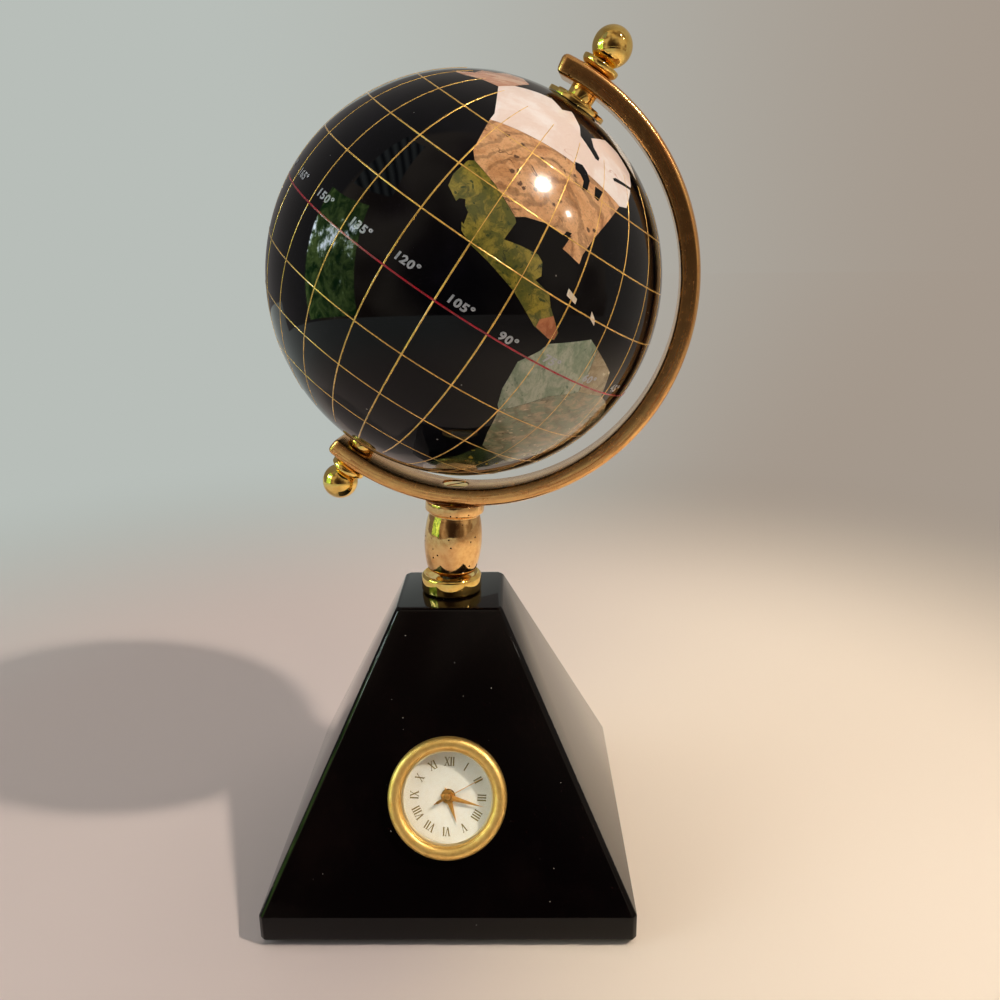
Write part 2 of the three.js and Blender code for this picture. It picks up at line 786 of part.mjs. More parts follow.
function landSpike(outline, grow) {
  let corners = outline.map(direction);
  const middle = corners.reduce((sum, corner) => sum.add(corner), new THREE.Vector3()).normalize();
  const east = new THREE.Vector3(0, 0, 1).cross(middle).normalize();
  const north = middle.clone().cross(east);
  const flatten = (corner) => new THREE.Vector2(corner.dot(east), corner.dot(north))
    .divideScalar(corner.dot(middle));
  if (THREE.ShapeUtils.area(corners.map(flatten)) < 0) corners.reverse();
  corners = movedCorners(corners, grow / globeRadius);
  const capTriangles = THREE.ShapeUtils.triangulateShape(corners.map(flatten), []);
  const ringAt = (distance) => corners.map(
    (corner) => corner.clone().multiplyScalar(distance / corner.dot(middle)));
  return loft([ringAt(spikeInnerShare * globeRadius), ringAt(spikeOuterShare * globeRadius)], capTriangles);
}

let ocean = layer;
for (const [name, [colour, outline]] of Object.entries(land)) {
  ocean = ocean.subtract(toSolid(landSpike(outline, seatGap / 2)));
  const stone = layer.intersect(toSolid(landSpike(outline, -seatGap / 2)));
  add(spinFrame, name, toGeometry(stone), material(colour, 0.15));
}
add(spinFrame, 'ocean_layer', toGeometry(ocean), material(0x08070a, 0.06));

// Clock insert: bezel, lens, ring, dial, case and grip ring

const lensLow = lensLift;
const lensRim = lensLow + lensThickness;
const caseBack = -caseDepth;
const caseHole = caseRadius - caseWall;

function bezel() {
  const groove = lensRadius + seatGap;
  const lipUnder = lensRim + seatGap;
  const crest = bezelLipRadius + (bezelRadius - bezelLipRadius) * bezelCrestShare;
  const swell = [];
  for (let i = -bezelSteps; i <= bezelSteps; i++) {
    const angle = i / bezelSteps * 90 * degrees;
    const reach = i < 0 ? bezelRadius - crest : crest - bezelLipRadius;
    const foot = i < 0 ? bezelRimHeight : bezelLipHeight;
    swell.push([crest - reach * Math.sin(angle), foot + (bezelHeight - foot) * Math.cos(angle)]);
  }
  return turned([
    [groove, seatGap],
    [bezelRadius, seatGap],
    ...swell,
    [bezelLipRadius, lipUnder],
    [groove, lipUnder],
    [groove, seatGap],
  ], fineSides);
}

function lens() {
  return turned([
    [0, lensLow], [lensRadius, lensLow], [lensRadius, lensRim], [lensDomeRadius, lensRim],
    [lensDomeRadius / 2, lensRim + lensDome * 3 / 4], [0, lensRim + lensDome],
  ], fineSides);
}

const dialLow = -dialDrop - dialThickness;

function clockCase() {
  const hole = knobShaftRadius + runGap;
  const [x, y] = knobPlace;
  const cup = turned([
    [0, caseBack], [caseRadius, caseBack], [caseRadius, 0], [caseHole, 0],
    [caseHole, caseBack + caseWall], [0, caseBack + caseWall],
  ], fineSides);
  const shaftHole = rod(hole, caseBack - cutOverrun, caseBack + caseWall + cutOverrun, smallSides);
  return cut(cup, shaftHole.translate(x, y, 0));
}

const atBearing = (distance, bearing) => [
  distance * Math.cos(bearing * degrees), distance * Math.sin(bearing * degrees)];
const motionReach = motionWheelRadius + cannonPinionRadius + meshGap;
const knobReach = motionReach + motionWheelRadius + knobPinionRadius + meshGap;
const thirdReach = centreWheelRadius + secondsPinionRadius + meshGap;
const rotorReach = secondsWheelRadius + rotorPinionRadius + meshGap;
const motionPlace = atBearing(motionReach, motionWheelBearing);
const knobPlace = atBearing(knobReach, motionWheelBearing);
const thirdPlace = atBearing(thirdReach, thirdWheelBearing);
const rotorPlace = atBearing(rotorReach, rotorBearing);
const batteryPlace = atBearing(batteryOffset, batteryBearing);
const coilPlace = atBearing(coilOffset, coilBearing);

add(clockFrame, 'bezel', bezel(), goldPlate());
add(clockFrame, 'lens', lens(), material(0xf4f6f6, 0.03));
add(clockFrame, 'dial_ring',
  ring(dialRingInnerRadius, dialRadius, seatGap - dialDrop, lensLow - seatGap, fineSides), goldPlate());
add(clockFrame, 'dial',
  ring(hourPipeRadius + runGap, dialRadius, dialLow, -dialDrop, fineSides), material(0xefe9da, 0.5));
add(clockFrame, 'clock_case', clockCase(), material(0xb8b2a0, 0.4));
add(clockFrame, 'grip_ring',
  ring(caseRadius + seatGap, gripRadius, -gripDrop - gripWidth, -gripDrop, fineSides),
  material(0x202020, 0.8));

// Movement: levels downward from the dial

const plateTop = dialLow - motionSpace;
const plateLow = plateTop - plateThickness;
const boardTop = plateLow - trainSpace;
const boardLow = boardTop - boardThickness;
const hourWheelTop = dialLow - runGap;
const motionWheelTop = hourWheelTop - wheelThickness - runGap;
const centreWheelTop = plateLow - runGap;
const thirdWheelTop = centreWheelTop - wheelThickness - runGap;
const secondsWheelTop = thirdWheelTop - wheelThickness - runGap;
const hourHandLow = handGap - dialDrop;
const minuteHandLow = hourHandLow + handThickness + handGap;
const secondHandLow = minuteHandLow + handThickness + handGap;

function mainPlate() {
  const disc = rod(plateRadius, plateLow, plateTop, fineSides);
  const holeAt = ([x, y], radius) => rod(radius, plateLow - cutOverrun, plateTop + cutOverrun, smallSides)
    .translate(x, y, 0);
  return cut(disc, holeAt([0, 0], cannonRadius + runGap), holeAt(knobPlace, knobShaftRadius + runGap));
}

function circuitBoard() {
  const disc = rod(plateRadius, boardLow, boardTop, fineSides);
  const [x, y] = knobPlace;
  const hole = rod(knobShaftRadius + runGap, boardLow - cutOverrun, boardTop + cutOverrun, smallSides);
  return cut(disc, hole.translate(x, y, 0));
}

// The coil is wound between the two shoes of its stator, close under the plate.
const coilLevel = plateLow - seatGap - coilRadius;

function driveCoil() {
  const [x, y] = coilPlace;
  const coil = rod(coilRadius, -coilLength / 2, coilLength / 2, smallSides);
  return coil.rotateY(90 * degrees).translate(x, y, coilLevel);
}

function stator() {
  const [x, y] = coilPlace;
  const reach = coilLength / 2 + seatGap + statorWidth / 2;
  const shoe = (side) => new THREE.BoxGeometry(statorWidth, 2 * coilRadius, 2 * coilRadius)
    .translate(x + side * reach, y, coilLevel);
  const barLevel = coilLevel - coilRadius - statorThickness / 2 + meshGap;
  const bar = new THREE.BoxGeometry(2 * reach + statorWidth, statorWidth, statorThickness)
    .translate(x, y, barLevel);
  const cutAway = rod(coilRadius + seatGap, -coilLength / 2 - seatGap, coilLength / 2 + seatGap, smallSides)
    .rotateY(90 * degrees).translate(x, y, coilLevel);
  return cut(join(shoe(-1), shoe(1), bar), cutAway);
}

function battery() {
  const [x, y] = batteryPlace;
  const top = boardTop + seatGap + batteryThickness;
  return rod(batteryRadius, boardTop + seatGap, top).translate(x, y, 0);
}

add(clockFrame, 'main_plate', mainPlate(), brassWork());
add(clockFrame, 'circuit_board', circuitBoard(), material(0x2f6b43, 0.6));
add(clockFrame, 'drive_coil', driveCoil(), material(0xb5642f, 0.4, 1));
add(clockFrame, 'stator', stator(), steel());
add(clockFrame, 'battery', battery(), steel());

function wheelAt(radius, teeth, top, hole = 0) {
  const holes = hole ? [circle(hole, smallSides)] : [];
  return plate(toothed(radius, teeth), top - wheelThickness, top, holes);
}

function cannonWheel() {
  const pipe = ring(cannonHoleRadius, cannonRadius, centreWheelTop - wheelThickness,
    minuteHandLow + handThickness, smallSides);
  return join(pipe, wheelAt(cannonPinionRadius, pinionTeeth, motionWheelTop, cannonHoleRadius),
    wheelAt(centreWheelRadius, slowTeeth, centreWheelTop, cannonHoleRadius));
}

function hourWheel() {
  const pipe = ring(hourPipeHoleRadius, hourPipeRadius, hourWheelTop - wheelThickness,
    hourHandLow + handThickness, smallSides);
  return join(pipe, wheelAt(hourWheelRadius, slowTeeth, hourWheelTop, hourPipeHoleRadius));
}

function secondsWheel() {
  const arbor = rod(secondsArborRadius, boardTop + runGap, secondHandLow + handThickness, smallSides);
  return join(arbor, wheelAt(secondsPinionRadius, pinionTeeth, thirdWheelTop),
    wheelAt(secondsWheelRadius, slowTeeth, secondsWheelTop));
}

function thirdWheel() {
  const [x, y] = thirdPlace;
  const staff = rod(staffRadius, boardTop + runGap, plateLow - meshGap, smallSides);
  return join(staff, wheelAt(thirdPinionRadius, pinionTeeth, centreWheelTop),
    wheelAt(thirdWheelRadius, slowTeeth, thirdWheelTop)).translate(x, y, 0);
}

function motionWheel() {
  const [x, y] = motionPlace;
  const staff = rod(staffRadius, plateTop + meshGap, dialLow - meshGap, smallSides);
  return join(staff, wheelAt(motionPinionRadius, pinionTeeth, hourWheelTop),
    wheelAt(motionWheelRadius, slowTeeth, motionWheelTop)).translate(x, y, 0);
}

function rotor() {
  const [x, y] = rotorPlace;
  const staff = rod(staffRadius, boardTop + runGap, plateLow - meshGap, smallSides);
  const magnet = rod(rotorRadius, thirdWheelTop - rotorThickness, thirdWheelTop, smallSides);
  return join(staff, magnet, wheelAt(rotorPinionRadius, pinionTeeth, secondsWheelTop)).translate(x, y, 0);
}

function settingKnob() {
  const [x, y] = knobPlace;
  const knobTop = caseBack - runGap;
  const knob = plate(toothed(knobRadius, knobTeeth), knobTop - knobHeight, knobTop);
  const shaft = rod(knobShaftRadius, knobTop - meshGap, motionWheelTop, smallSides);
  return join(knob, shaft, wheelAt(knobPinionRadius, pinionTeeth, motionWheelTop)).translate(x, y, 0);
}

add(clockFrame, 'cannon_wheel', cannonWheel(), brassWork());
add(clockFrame, 'hour_wheel', hourWheel(), brassWork());
add(clockFrame, 'seconds_wheel', secondsWheel(), brassWork());
add(clockFrame, 'third_wheel', thirdWheel(), brassWork());
add(clockFrame, 'motion_wheel', motionWheel(), brassWork());
add(clockFrame, 'rotor', rotor(), steel());
add(clockFrame, 'setting_knob', settingKnob(), material(0x30302e, 0.5));

// Hands, drawn pointing at twelve and turned to the time shown

const weightShare = 0.85;

function leafHand(length, tail, width, hole, low, turn) {
  const hub = circle(hole + handOverArbor + width / 4, smallSides);
  const blade = plate([[0, -tail], [width / 2, 0], [0, length], [-width / 2, 0]], low, low + handThickness);
  const disc = plate(hub, low, low + handThickness);
  const bore = rod(hole + handOverArbor, low - cutOverrun, low + handThickness + cutOverrun, smallSides);
  return cut(join(blade, disc), bore).rotateZ(-turn * degrees);
}

function secondHand(turn) {
  const half = secondHandWidth / 2;
  const heavy = counterweightWidth / 2;
  const tailEnd = -secondHandTail;
  const weightLow = -secondHandTail * weightShare;
  const weightTop = weightLow + counterweightLength;
  const top = secondHandLow + handThickness;
  const blade = plate([
    [-half, tailEnd], [half, tailEnd], [half, weightLow], [heavy, weightLow], [heavy, weightTop],
    [half, weightTop], [half, secondHandLength], [-half, secondHandLength], [-half, weightTop],
    [-heavy, weightTop], [-heavy, weightLow], [-half, weightLow],
  ], secondHandLow, top);
  const hub = plate(circle(cannonRadius, smallSides), secondHandLow, top);
  const bore = rod(secondsArborRadius + handOverArbor, secondHandLow - cutOverrun,
    top + cutOverrun, smallSides);
  return cut(join(blade, hub), bore).rotateZ(-turn * degrees);
}

const secondTurn = secondNow * 6;
const minuteTurn = minuteNow * 6 + secondTurn / 60;
const hourTurn = hourNow * 30 + minuteTurn / 12;

add(clockFrame, 'hour_hand',
  leafHand(hourHandLength, hourHandTail, hourHandWidth, hourPipeRadius, hourHandLow, hourTurn), goldPlate());
add(clockFrame, 'minute_hand',
  leafHand(minuteHandLength, minuteHandTail, minuteHandWidth, cannonRadius, minuteHandLow, minuteTurn),
  goldPlate());
add(clockFrame, 'second_hand', secondHand(secondTurn), goldPlate());

export default globeClock;
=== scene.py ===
import json
import math

import bpy
import bmesh
from mathutils import Matrix, Vector
from mathutils.geometry import delaunay_2d_cdt
from mathutils.kdtree import KDTree


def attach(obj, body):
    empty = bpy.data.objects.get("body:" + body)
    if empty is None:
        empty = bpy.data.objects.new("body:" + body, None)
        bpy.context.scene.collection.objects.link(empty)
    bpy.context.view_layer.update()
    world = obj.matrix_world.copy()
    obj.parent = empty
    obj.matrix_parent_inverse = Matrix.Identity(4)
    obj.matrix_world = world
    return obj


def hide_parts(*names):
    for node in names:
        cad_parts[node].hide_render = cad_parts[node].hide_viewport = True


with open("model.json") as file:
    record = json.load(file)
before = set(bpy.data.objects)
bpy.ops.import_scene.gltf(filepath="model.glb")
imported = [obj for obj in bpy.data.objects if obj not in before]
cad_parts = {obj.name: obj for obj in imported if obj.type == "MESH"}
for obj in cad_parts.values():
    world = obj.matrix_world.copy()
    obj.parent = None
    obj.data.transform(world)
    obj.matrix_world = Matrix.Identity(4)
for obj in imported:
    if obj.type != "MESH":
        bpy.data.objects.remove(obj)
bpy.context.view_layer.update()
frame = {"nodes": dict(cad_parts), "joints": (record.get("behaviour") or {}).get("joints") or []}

# The photograph is taken from a hand's width above the table, a little to the right of the middle. The
# stage is a plain pale table top and wall under soft light. A dim room with one window stands round it,
# for the polished stone and the gold to mirror. None of it is part of the object.
mm = 0.001
camera_place = (14.14 * mm, -198.59 * mm, 141.17 * mm)
camera_turn = (74.02, 0.61, 0.70)
lens_length, sensor_width, nearest_seen = 33.79, 36.0, 0.01
floor_reach, floor_clearance = 3.0, 0.05 * mm
fade_start, fade_end = 0.14, 0.42
eye_level = 0.13
card_rows, card_columns = 13, 37


def turned_by(x, y, z):
    return tuple(math.radians(angle) for angle in (x, y, z))


def linked(name, data):
    """A new object for the data, in the scene."""
    made = bpy.data.objects.new(name, data)
    bpy.context.collection.objects.link(made)
    return made


camera = linked("camera", bpy.data.cameras.new("camera"))
camera.location = camera_place
camera.rotation_euler = turned_by(*camera_turn)
camera.data.lens = lens_length
camera.data.sensor_width = sensor_width
camera.data.clip_start = nearest_seen
scene = bpy.context.scene
scene.camera = camera
scene.view_settings.view_transform = "Standard"


def colour(red, green, blue):
    """A colour given in the 0 to 255 of a picture, as the linear values that a shader takes."""
    def linear(value):
        value /= 255
        return value / 12.92 if value <= 0.04045 else ((value + 0.055) / 1.055) ** 2.4
    return linear(red), linear(green), linear(blue), 1.0


def is_socket(value):
    return isinstance(value, bpy.types.NodeSocket)


def give(made, values):
    """Links or sets a node's inputs by name or number. A colour is given in the 0 to 255 of a picture."""
    for key, value in values.items():
        socket = made.inputs[key]
        if is_socket(value):
            made.id_data.links.new(value, socket)
        else:
            socket.default_value = colour(*value) if socket.type == "RGBA" else value


def node(near, kind, values=None, **settings):
    """A new node in a tree, or in the tree of a socket, with its properties and inputs."""
    made = near.id_data.nodes.new(kind)
    for name, value in settings.items():
        setattr(made, name, value)
    give(made, values or {})
    return made


def maths(operation, first, second=0.5):
    near = first if is_socket(first) else second
    return node(near, "ShaderNodeMath", {0: first, 1: second}, operation=operation).outputs[0]


def times(first, second):
    return maths("MULTIPLY", first, second)


def plus(first, second):
    return maths("ADD", first, second)


def less(first, second):
    return maths("SUBTRACT", first, second)


def vector_maths(operation, *values):
    made = node(values[0], "ShaderNodeVectorMath", dict(enumerate(values)), operation=operation)
    return made.outputs["Value" if operation == "LENGTH" else 0]


def split(vector):
    return node(vector, "ShaderNodeSeparateXYZ", {0: vector}).outputs


def spread(value, low, high, to_low=0.0, to_high=1.0):
    """Maps low..high smoothly to to_low..to_high."""
    return node(value, "ShaderNodeMapRange", {
        "Value": value, "From Min": low, "From Max": high, "To Min": to_low, "To Max": to_high},
        interpolation_type="SMOOTHSTEP").outputs[0]


def mixed(share, first, second):
    return node(share, "ShaderNodeMix", {0: share, 6: first, 7: second}, data_type="RGBA").outputs[2]


def noise(where, scale, detail=2.0, rough=0.5, warp=0.0):
    return node(where, "ShaderNodeTexNoise", {
        "Vector": where, "Scale": scale, "Detail": detail, "Roughness": rough,
        "Distortion": warp}).outputs["Fac"]


def finish(name, **plain):
    """A material, its shader with plain values on its own sockets, and the piece's place in metres."""
    made = bpy.data.materials.new(name)
    made.use_nodes = True
    shader = made.node_tree.nodes["Principled BSDF"]
    give(shader, {socket.replace("_", " "): value for socket, value in plain.items()})
    return made, shader, node(shader, "ShaderNodeTexCoord").outputs["Object"]


def surface(socket):
    give(socket.id_data.nodes["Material Output"], {"Surface": socket})


def evenly(low, high, steps):
    """The values from low to high in equal steps, with both ends."""
    return [low + (high - low) * step / steps for step in range(steps + 1)]


def quads(rows, count, wrapped=True, looped=False):
    """The faces between rows of points. A wrapped row joins its ends, and looped rows join first to last."""
    faces = []
    for row in range(rows if looped else rows - 1):
        here, above = row * count, (row + 1) % rows * count
        for side in range(count if wrapped else count - 1):
            after = (side + 1) % count
            faces.append((here + side, here + after, above + after, above + side))
    return faces


def shaded(mesh, smooth_under):
    mesh.shade_smooth()
    mesh.set_sharp_from_angle(angle=math.radians(smooth_under))


def to_mesh(name, points, faces, material, smooth_under=35):
    made = bpy.data.meshes.new(name)
    made.from_pydata([tuple(point) for point in points], [], faces)
    made.materials.append(material)
    shaded(made, smooth_under)
    made.validate()
    return linked(name, made)


def backdrop(sideways):
    """The wall's grey, cool on the left and warmer on the right, by how far sideways one looks."""
    return mixed(spread(sideways, -0.3, 0.5), (184, 190, 185), (164, 152, 140))


def seen_share(near):
    """One where the camera looks, straight, in a mirror or through glass."""
    path = node(near, "ShaderNodeLightPath").outputs
    either = maths("MAXIMUM", path["Is Camera Ray"], path["Is Glossy Ray"])
    return maths("MAXIMUM", either, path["Is Transmission Ray"])


table_finish, shader, where = finish("table_top", Roughness=0.85)
away = vector_maths("LENGTH", where)
sideways = maths("DIVIDE", split(where)[0], away)
wall_tone = backdrop(sideways)
faded = spread(away, fade_start, fade_end)
# Painted shade and light: the cloth's colour is darker and cooler towards the left, where shade falls, and
# paler and warmer towards the right, where the light falls.
cloth_with_painted_shade = mixed(spread(sideways, -0.5, 0.9), (204, 188, 183), (244, 226, 206))
give(shader, {"Base Color": mixed(faded, cloth_with_painted_shade, wall_tone)})
glow = node(where, "ShaderNodeEmission", {"Color": wall_tone, "Strength": 1.0})
surface(node(where, "ShaderNodeMixShader", {
    0: times(faded, seen_share(where)), 1: shader.outputs[0], 2: glow.outputs[0]}).outputs[0])
table_top = to_mesh("table_top", [(x * floor_reach, y * floor_reach, -floor_clearance) for x, y in (
    (-1, -1), (1, -1), (1, 1), (-1, 1))], [(0, 1, 2, 3)], table_finish)


def curved_card(name, distance, bearings, climbs, material):
    """A piece of a sphere round the object, seen only in mirror-like surfaces."""
    points = []
    for climb in map(math.radians, evenly(*climbs, card_rows - 1)):
        out = distance * math.cos(climb)
        for bearing in map(math.radians, evenly(*bearings, card_columns - 1)):
            points.append((out * math.sin(bearing), -out * math.cos(bearing),
                           eye_level + distance * math.sin(climb)))
    card = to_mesh(name, points, quads(card_rows, card_columns, wrapped=False), material)
    card.visible_camera = card.visible_diffuse = card.visible_shadow = False


def glowing(name, look):
    """A material that only glows, in the tone and strength of its look."""
    made, _, where = finish(name)
    tone, strength = look(where)
    surface(node(where, "ShaderNodeEmission", {"Color": tone, "Strength": strength}).outputs[0])
    return made


def room_look(where):
    """Dark behind the camera, paler overhead, with blurred furniture, and a plain wall on each side."""
    way = vector_maths("NORMALIZE", vector_maths("SUBTRACT", where, (0, 0, eye_level)))
    off_axis = vector_maths("LENGTH", vector_maths("MULTIPLY", way, (1, 0, 1)))
    lit = mixed(spread(noise(way, 2.0, 1.0), 0.35, 0.65), (112, 94, 78), (196, 180, 160))
    front = mixed(spread(off_axis, 0.15, 0.8), (48, 37, 31), lit)
    side_wall = mixed(spread(split(way)[0], -0.5, 0.5), (120, 116, 114), (164, 156, 146))
    return mixed(spread(split(way)[1], -0.12, -0.06), front, side_wall), 1.0


def garden_look(where):
    """Leaves, with gaps of sky between them, most of these in a band above the middle of the window."""
    off_band = maths("ABSOLUTE", less(split(where)[2], 0.285))
    sky = plus(noise(where, 13.0, 5.0, 0.75), spread(off_band, 0.01, 0.09, 0.12, -0.04))
    leaves = noise(where, 16.0, 6.0, 0.75, 0.8)
    green = mixed(spread(leaves, 0.38, 0.68), (36, 84, 34), (160, 196, 108))
    return mixed(spread(sky, 0.58, 0.7), green, (222, 236, 248)), spread(sky, 0.56, 0.72, 3.6, 26.0)


def curtain_look(where):
    folds = node(where, "ShaderNodeTexWave", {"Vector": where, "Scale": 11.0, "Distortion": 0.6},
                 wave_type="BANDS", bands_direction="X").outputs["Fac"]
    return mixed(folds, (62, 68, 66), (168, 178, 176)), 1.0


def bulb_look(where):
    return mixed(noise(where, 5.0), (255, 246, 232), (255, 250, 240)), 40.0


room = glowing("dim_room", room_look)
curved_card("dim_room", 1.2, (-163, 163), (-6, 90), room)
curved_card("room_ceiling", 1.19, (161, 199), (24, 90), room)
curved_card("beyond_table", 0.53, (-120, 120), (-14, -5), room)
curved_card("garden_window", 0.5, (-92, -57), (-13, 36), glowing("garden_window", garden_look))
curved_card("second_bulb", 0.7, (67, 69.4), (28.8, 31.2), glowing("second_bulb", bulb_look))
curved_card("thin_curtain", 0.49, (-78, -44), (42, 70), glowing("thin_curtain", curtain_look))


def soft_lamp(name, place, aim, width, height, watts, tone):
    lamp = linked(name, bpy.data.lights.new(name, "AREA"))
    lamp.data.shape = "RECTANGLE"
    lamp.data.size, lamp.data.size_y = width, height
    lamp.data.energy = watts
    lamp.data.color = colour(*tone)[:3]
    lamp.location = place
    lamp.rotation_euler = (Vector(aim) - Vector(place)).to_track_quat("-Z", "Y").to_euler()
    lamp.visible_camera = False


soft_lamp("key_lamp", (0.52, -0.276, 0.74), (0, 0, 0.09), 0.035, 0.035, 5.0, (255, 244, 230))
soft_lamp("window_lamp", (-1.35, -0.55, 0.7), (0, 0, 0.12), 0.9, 0.9, 6.5, (232, 244, 255))
soft_lamp("top_lamp", (0.0, 0.3, 1.7), (0, 0, 0.1), 1.2, 1.0, 9.0, (255, 252, 248))

world = bpy.data.worlds.new("pale_room")
world.use_nodes = True
looking = split(node(world.node_tree, "ShaderNodeTexCoord").outputs["Generated"])[0]
give(world.node_tree.nodes["Background"], {
    "Color": backdrop(looking), "Strength": spread(seen_share(looking), 0.0, 1.0, 0.45, 1.0)})
scene.world = world


# The base is one block of polished black stone: a four-sided pyramid on a low square plinth, with every
# edge eased. The clock's bore is drilled into its front face, and a hole for the tie rod runs up through
# it from a recess underneath.
base_half, base_top_half = 77.4 / 2 * mm, 23.2 / 2 * mm
felt_thickness, base_height, plinth_height = 0.8 * mm, 62.6 * mm, 6.1 * mm
base_bevel, edge_ease = 0.9 * mm, 0.22 * mm
bore_radius, bore_depth = 11.7 * mm, 12.5 * mm
rod_hole_radius, nut_recess_radius, nut_recess_depth = 2.6 * mm, 6.5 * mm, 7.5 * mm
foot_height, dish_depth = 4.3 * mm, 0.8 * mm
stem_lean, arm_turn, insert_turn = 4, -7, -2.5
overrun = 3 * mm
stone_top = felt_thickness + base_height
dish_floor = stone_top + foot_height - dish_depth
recess_floor = nut_recess_depth - (dish_floor - felt_thickness) / math.cos(math.radians(stem_lean))


def spin(degrees, axis="Z"):
    return Matrix.Rotation(math.radians(degrees), 4, axis)


clock_joint = next(joint for joint in frame["joints"] if joint["name"] == "second_hand_turn")
clock_out = -Vector(clock_joint["axis"]).normalized()
clock_right = Vector((1, 0, 0))
clock_axes = Matrix((clock_right, clock_out.cross(clock_right), clock_out)).transposed().to_4x4()
clock_frame = Matrix.Translation(clock_joint["pos_m"]) @ clock_axes @ spin(insert_turn)
stem_frame = Matrix.Translation((0, 0, dish_floor)) @ spin(arm_turn) @ spin(stem_lean, "Y")


def shader_group(name, colours, values, gives):
    """An empty shader node group that takes a vector, colours and values, and gives a colour or values."""
    group = bpy.data.node_groups.new(name, "ShaderNodeTree")
    for way, labels in (("INPUT", ("Vector",) + colours + values), ("OUTPUT", gives)):
        for label in labels:
            kind = "Vector" if label == "Vector" else "Color" if label in colours + ("Colour",) else "Float"
            group.interface.new_socket(label, in_out=way, socket_type="NodeSocket" + kind)
    return group, group.nodes.new("NodeGroupInput").outputs, group.nodes.new("NodeGroupOutput")


def patterned(group, where, **values):
    """The outputs of a shader group at a place, with its colours and values."""
    named = {key.replace("_", " "): value for key, value in values.items()}
    return node(where, "ShaderNodeGroup", {"Vector": where, **named}, node_tree=group).outputs


def per(size, share=1.0):
    """The scale of a pattern whose features have this size."""
    return maths("DIVIDE", share, size)


def cells(where, scale):
    """The distance from the middle of each cell, and two chances drawn for the cell."""
    found = node(where, "ShaderNodeTexVoronoi", {"Vector": where, "Scale": scale}).outputs
    chance = node(where, "ShaderNodeSeparateColor", {0: found["Color"]}).outputs
    return found["Distance"], chance[0], chance[1]


# Dust: small round specks, each in its own cell, some cells left clean.
dust, given, out = shader_group("dust_specks", (), ("Spacing", "Size", "Share"), ("Mask",))
distance, chance, size_chance = cells(given["Vector"], per(given["Spacing"]))
size = times(given["Size"], spread(size_chance, 0.0, 1.0, 0.35, 1.0))
give(out, {"Mask": times(maths("LESS_THAN", distance, size), maths("LESS_THAN", chance, given["Share"]))})

# Polish: the faint wipe marks and the slow ripple that a hand-polished face keeps.
polish, given, out = shader_group("polish_marks", (), ("Smooth", "Hazy", "Patch"), ("Roughness", "Height"))
patches = noise(given["Vector"], per(given["Patch"]), 5.0, 0.6)
haze = times(spread(patches, 0.42, 0.72), less(given["Hazy"], given["Smooth"]))
give(out, {"Roughness": plus(given["Smooth"], haze), "Height": patches})


def moved(where, turn=(0, 0, 0), stretch=(1, 1, 1), shift=(0, 0, 0)):
    return node(where, "ShaderNodeMapping", {
        "Vector": where, "Location": shift, "Rotation": turned_by(*turn), "Scale": stretch}).outputs[0]


def dress(shader, tone, rough, height=None, depth=0.01 * mm, strength=1.0):
    """Gives the shader a pattern's colour, roughness and height."""
    give(shader, {"Base Color": tone, "Roughness": rough})
    if height is not None:
        bump = node(shader, "ShaderNodeBump", {"Strength": strength, "Distance": depth, "Height": height})
        give(shader, {"Normal": bump.outputs[0]})


def black_stone(name, ground, sheen, speck_share, gloss):
    made, shader, where = finish(name, Specular_IOR_Level=gloss)
    stone = mixed(spread(noise(where, 55.0, 8.0, 0.65), 0.45, 0.75), ground, sheen)
    specks = patterned(dust, where, Spacing=2.6 * mm, Size=0.055, Share=speck_share)["Mask"]
    lint_place = moved(where, shift=(0.3, 0.1, 0.2))
    lint = patterned(dust, lint_place, Spacing=6.5 * mm, Size=0.03, Share=speck_share)["Mask"]
    faint = times(maths("MAXIMUM", specks, lint), 0.4)
    wiped = patterned(polish, where, Smooth=0.03, Hazy=0.055, Patch=9 * mm)
    dress(shader, mixed(faint, stone, (205, 200, 192)), plus(wiped["Roughness"], faint), wiped["Height"],
          0.012 * mm, 0.6)
    return made


def plain_mesh(piece):
    return bpy.data.meshes.new_from_object(piece.evaluated_get(bpy.context.evaluated_depsgraph_get()))


def meshed(piece):
    """Applies the piece's modifiers and leaves it a plain mesh."""
    plain = plain_mesh(piece)
    piece.modifiers.clear()
    piece.data = plain


def drilled(piece, smooth_under, *drills):
    """Cuts the drills out of the piece, throws them away and shades the piece afresh."""
    for drill in drills:
        cut = piece.modifiers.new("drill", "BOOLEAN")
        cut.operation, cut.solver = "DIFFERENCE", "EXACT"
        cut.object = drill
    meshed(piece)
    for drill in drills:
        bpy.data.objects.remove(drill)
    shaded(piece.data, smooth_under)


def polar(radius, angle, height):
    return Vector((radius * math.cos(angle), radius * math.sin(angle), height))


def lathe(name, profile, where, material, sides=96, smooth_under=35):
    """A body turned about +Z from [radius, height] points in order, closed at the axis or on itself."""
    on_axis = profile[0][0] == 0 and profile[-1][0] == 0
    ring = profile[1:-1] if on_axis else profile
    points = [where @ polar(radius, angle, height)
              for radius, height in ring for angle in evenly(0, 2 * math.pi, sides)[:-1]]
    faces = quads(len(ring), sides, looped=not on_axis)
    if on_axis:
        low, high, last = len(points), len(points) + 1, len(points) - sides
        points += [where @ Vector((0, 0, profile[end][1])) for end in (0, -1)]
        for side in range(sides):
            after = (side + 1) % sides
            faces += [(low, after, side), (high, last + side, last + after)]
    return to_mesh(name, points, faces, material, smooth_under)


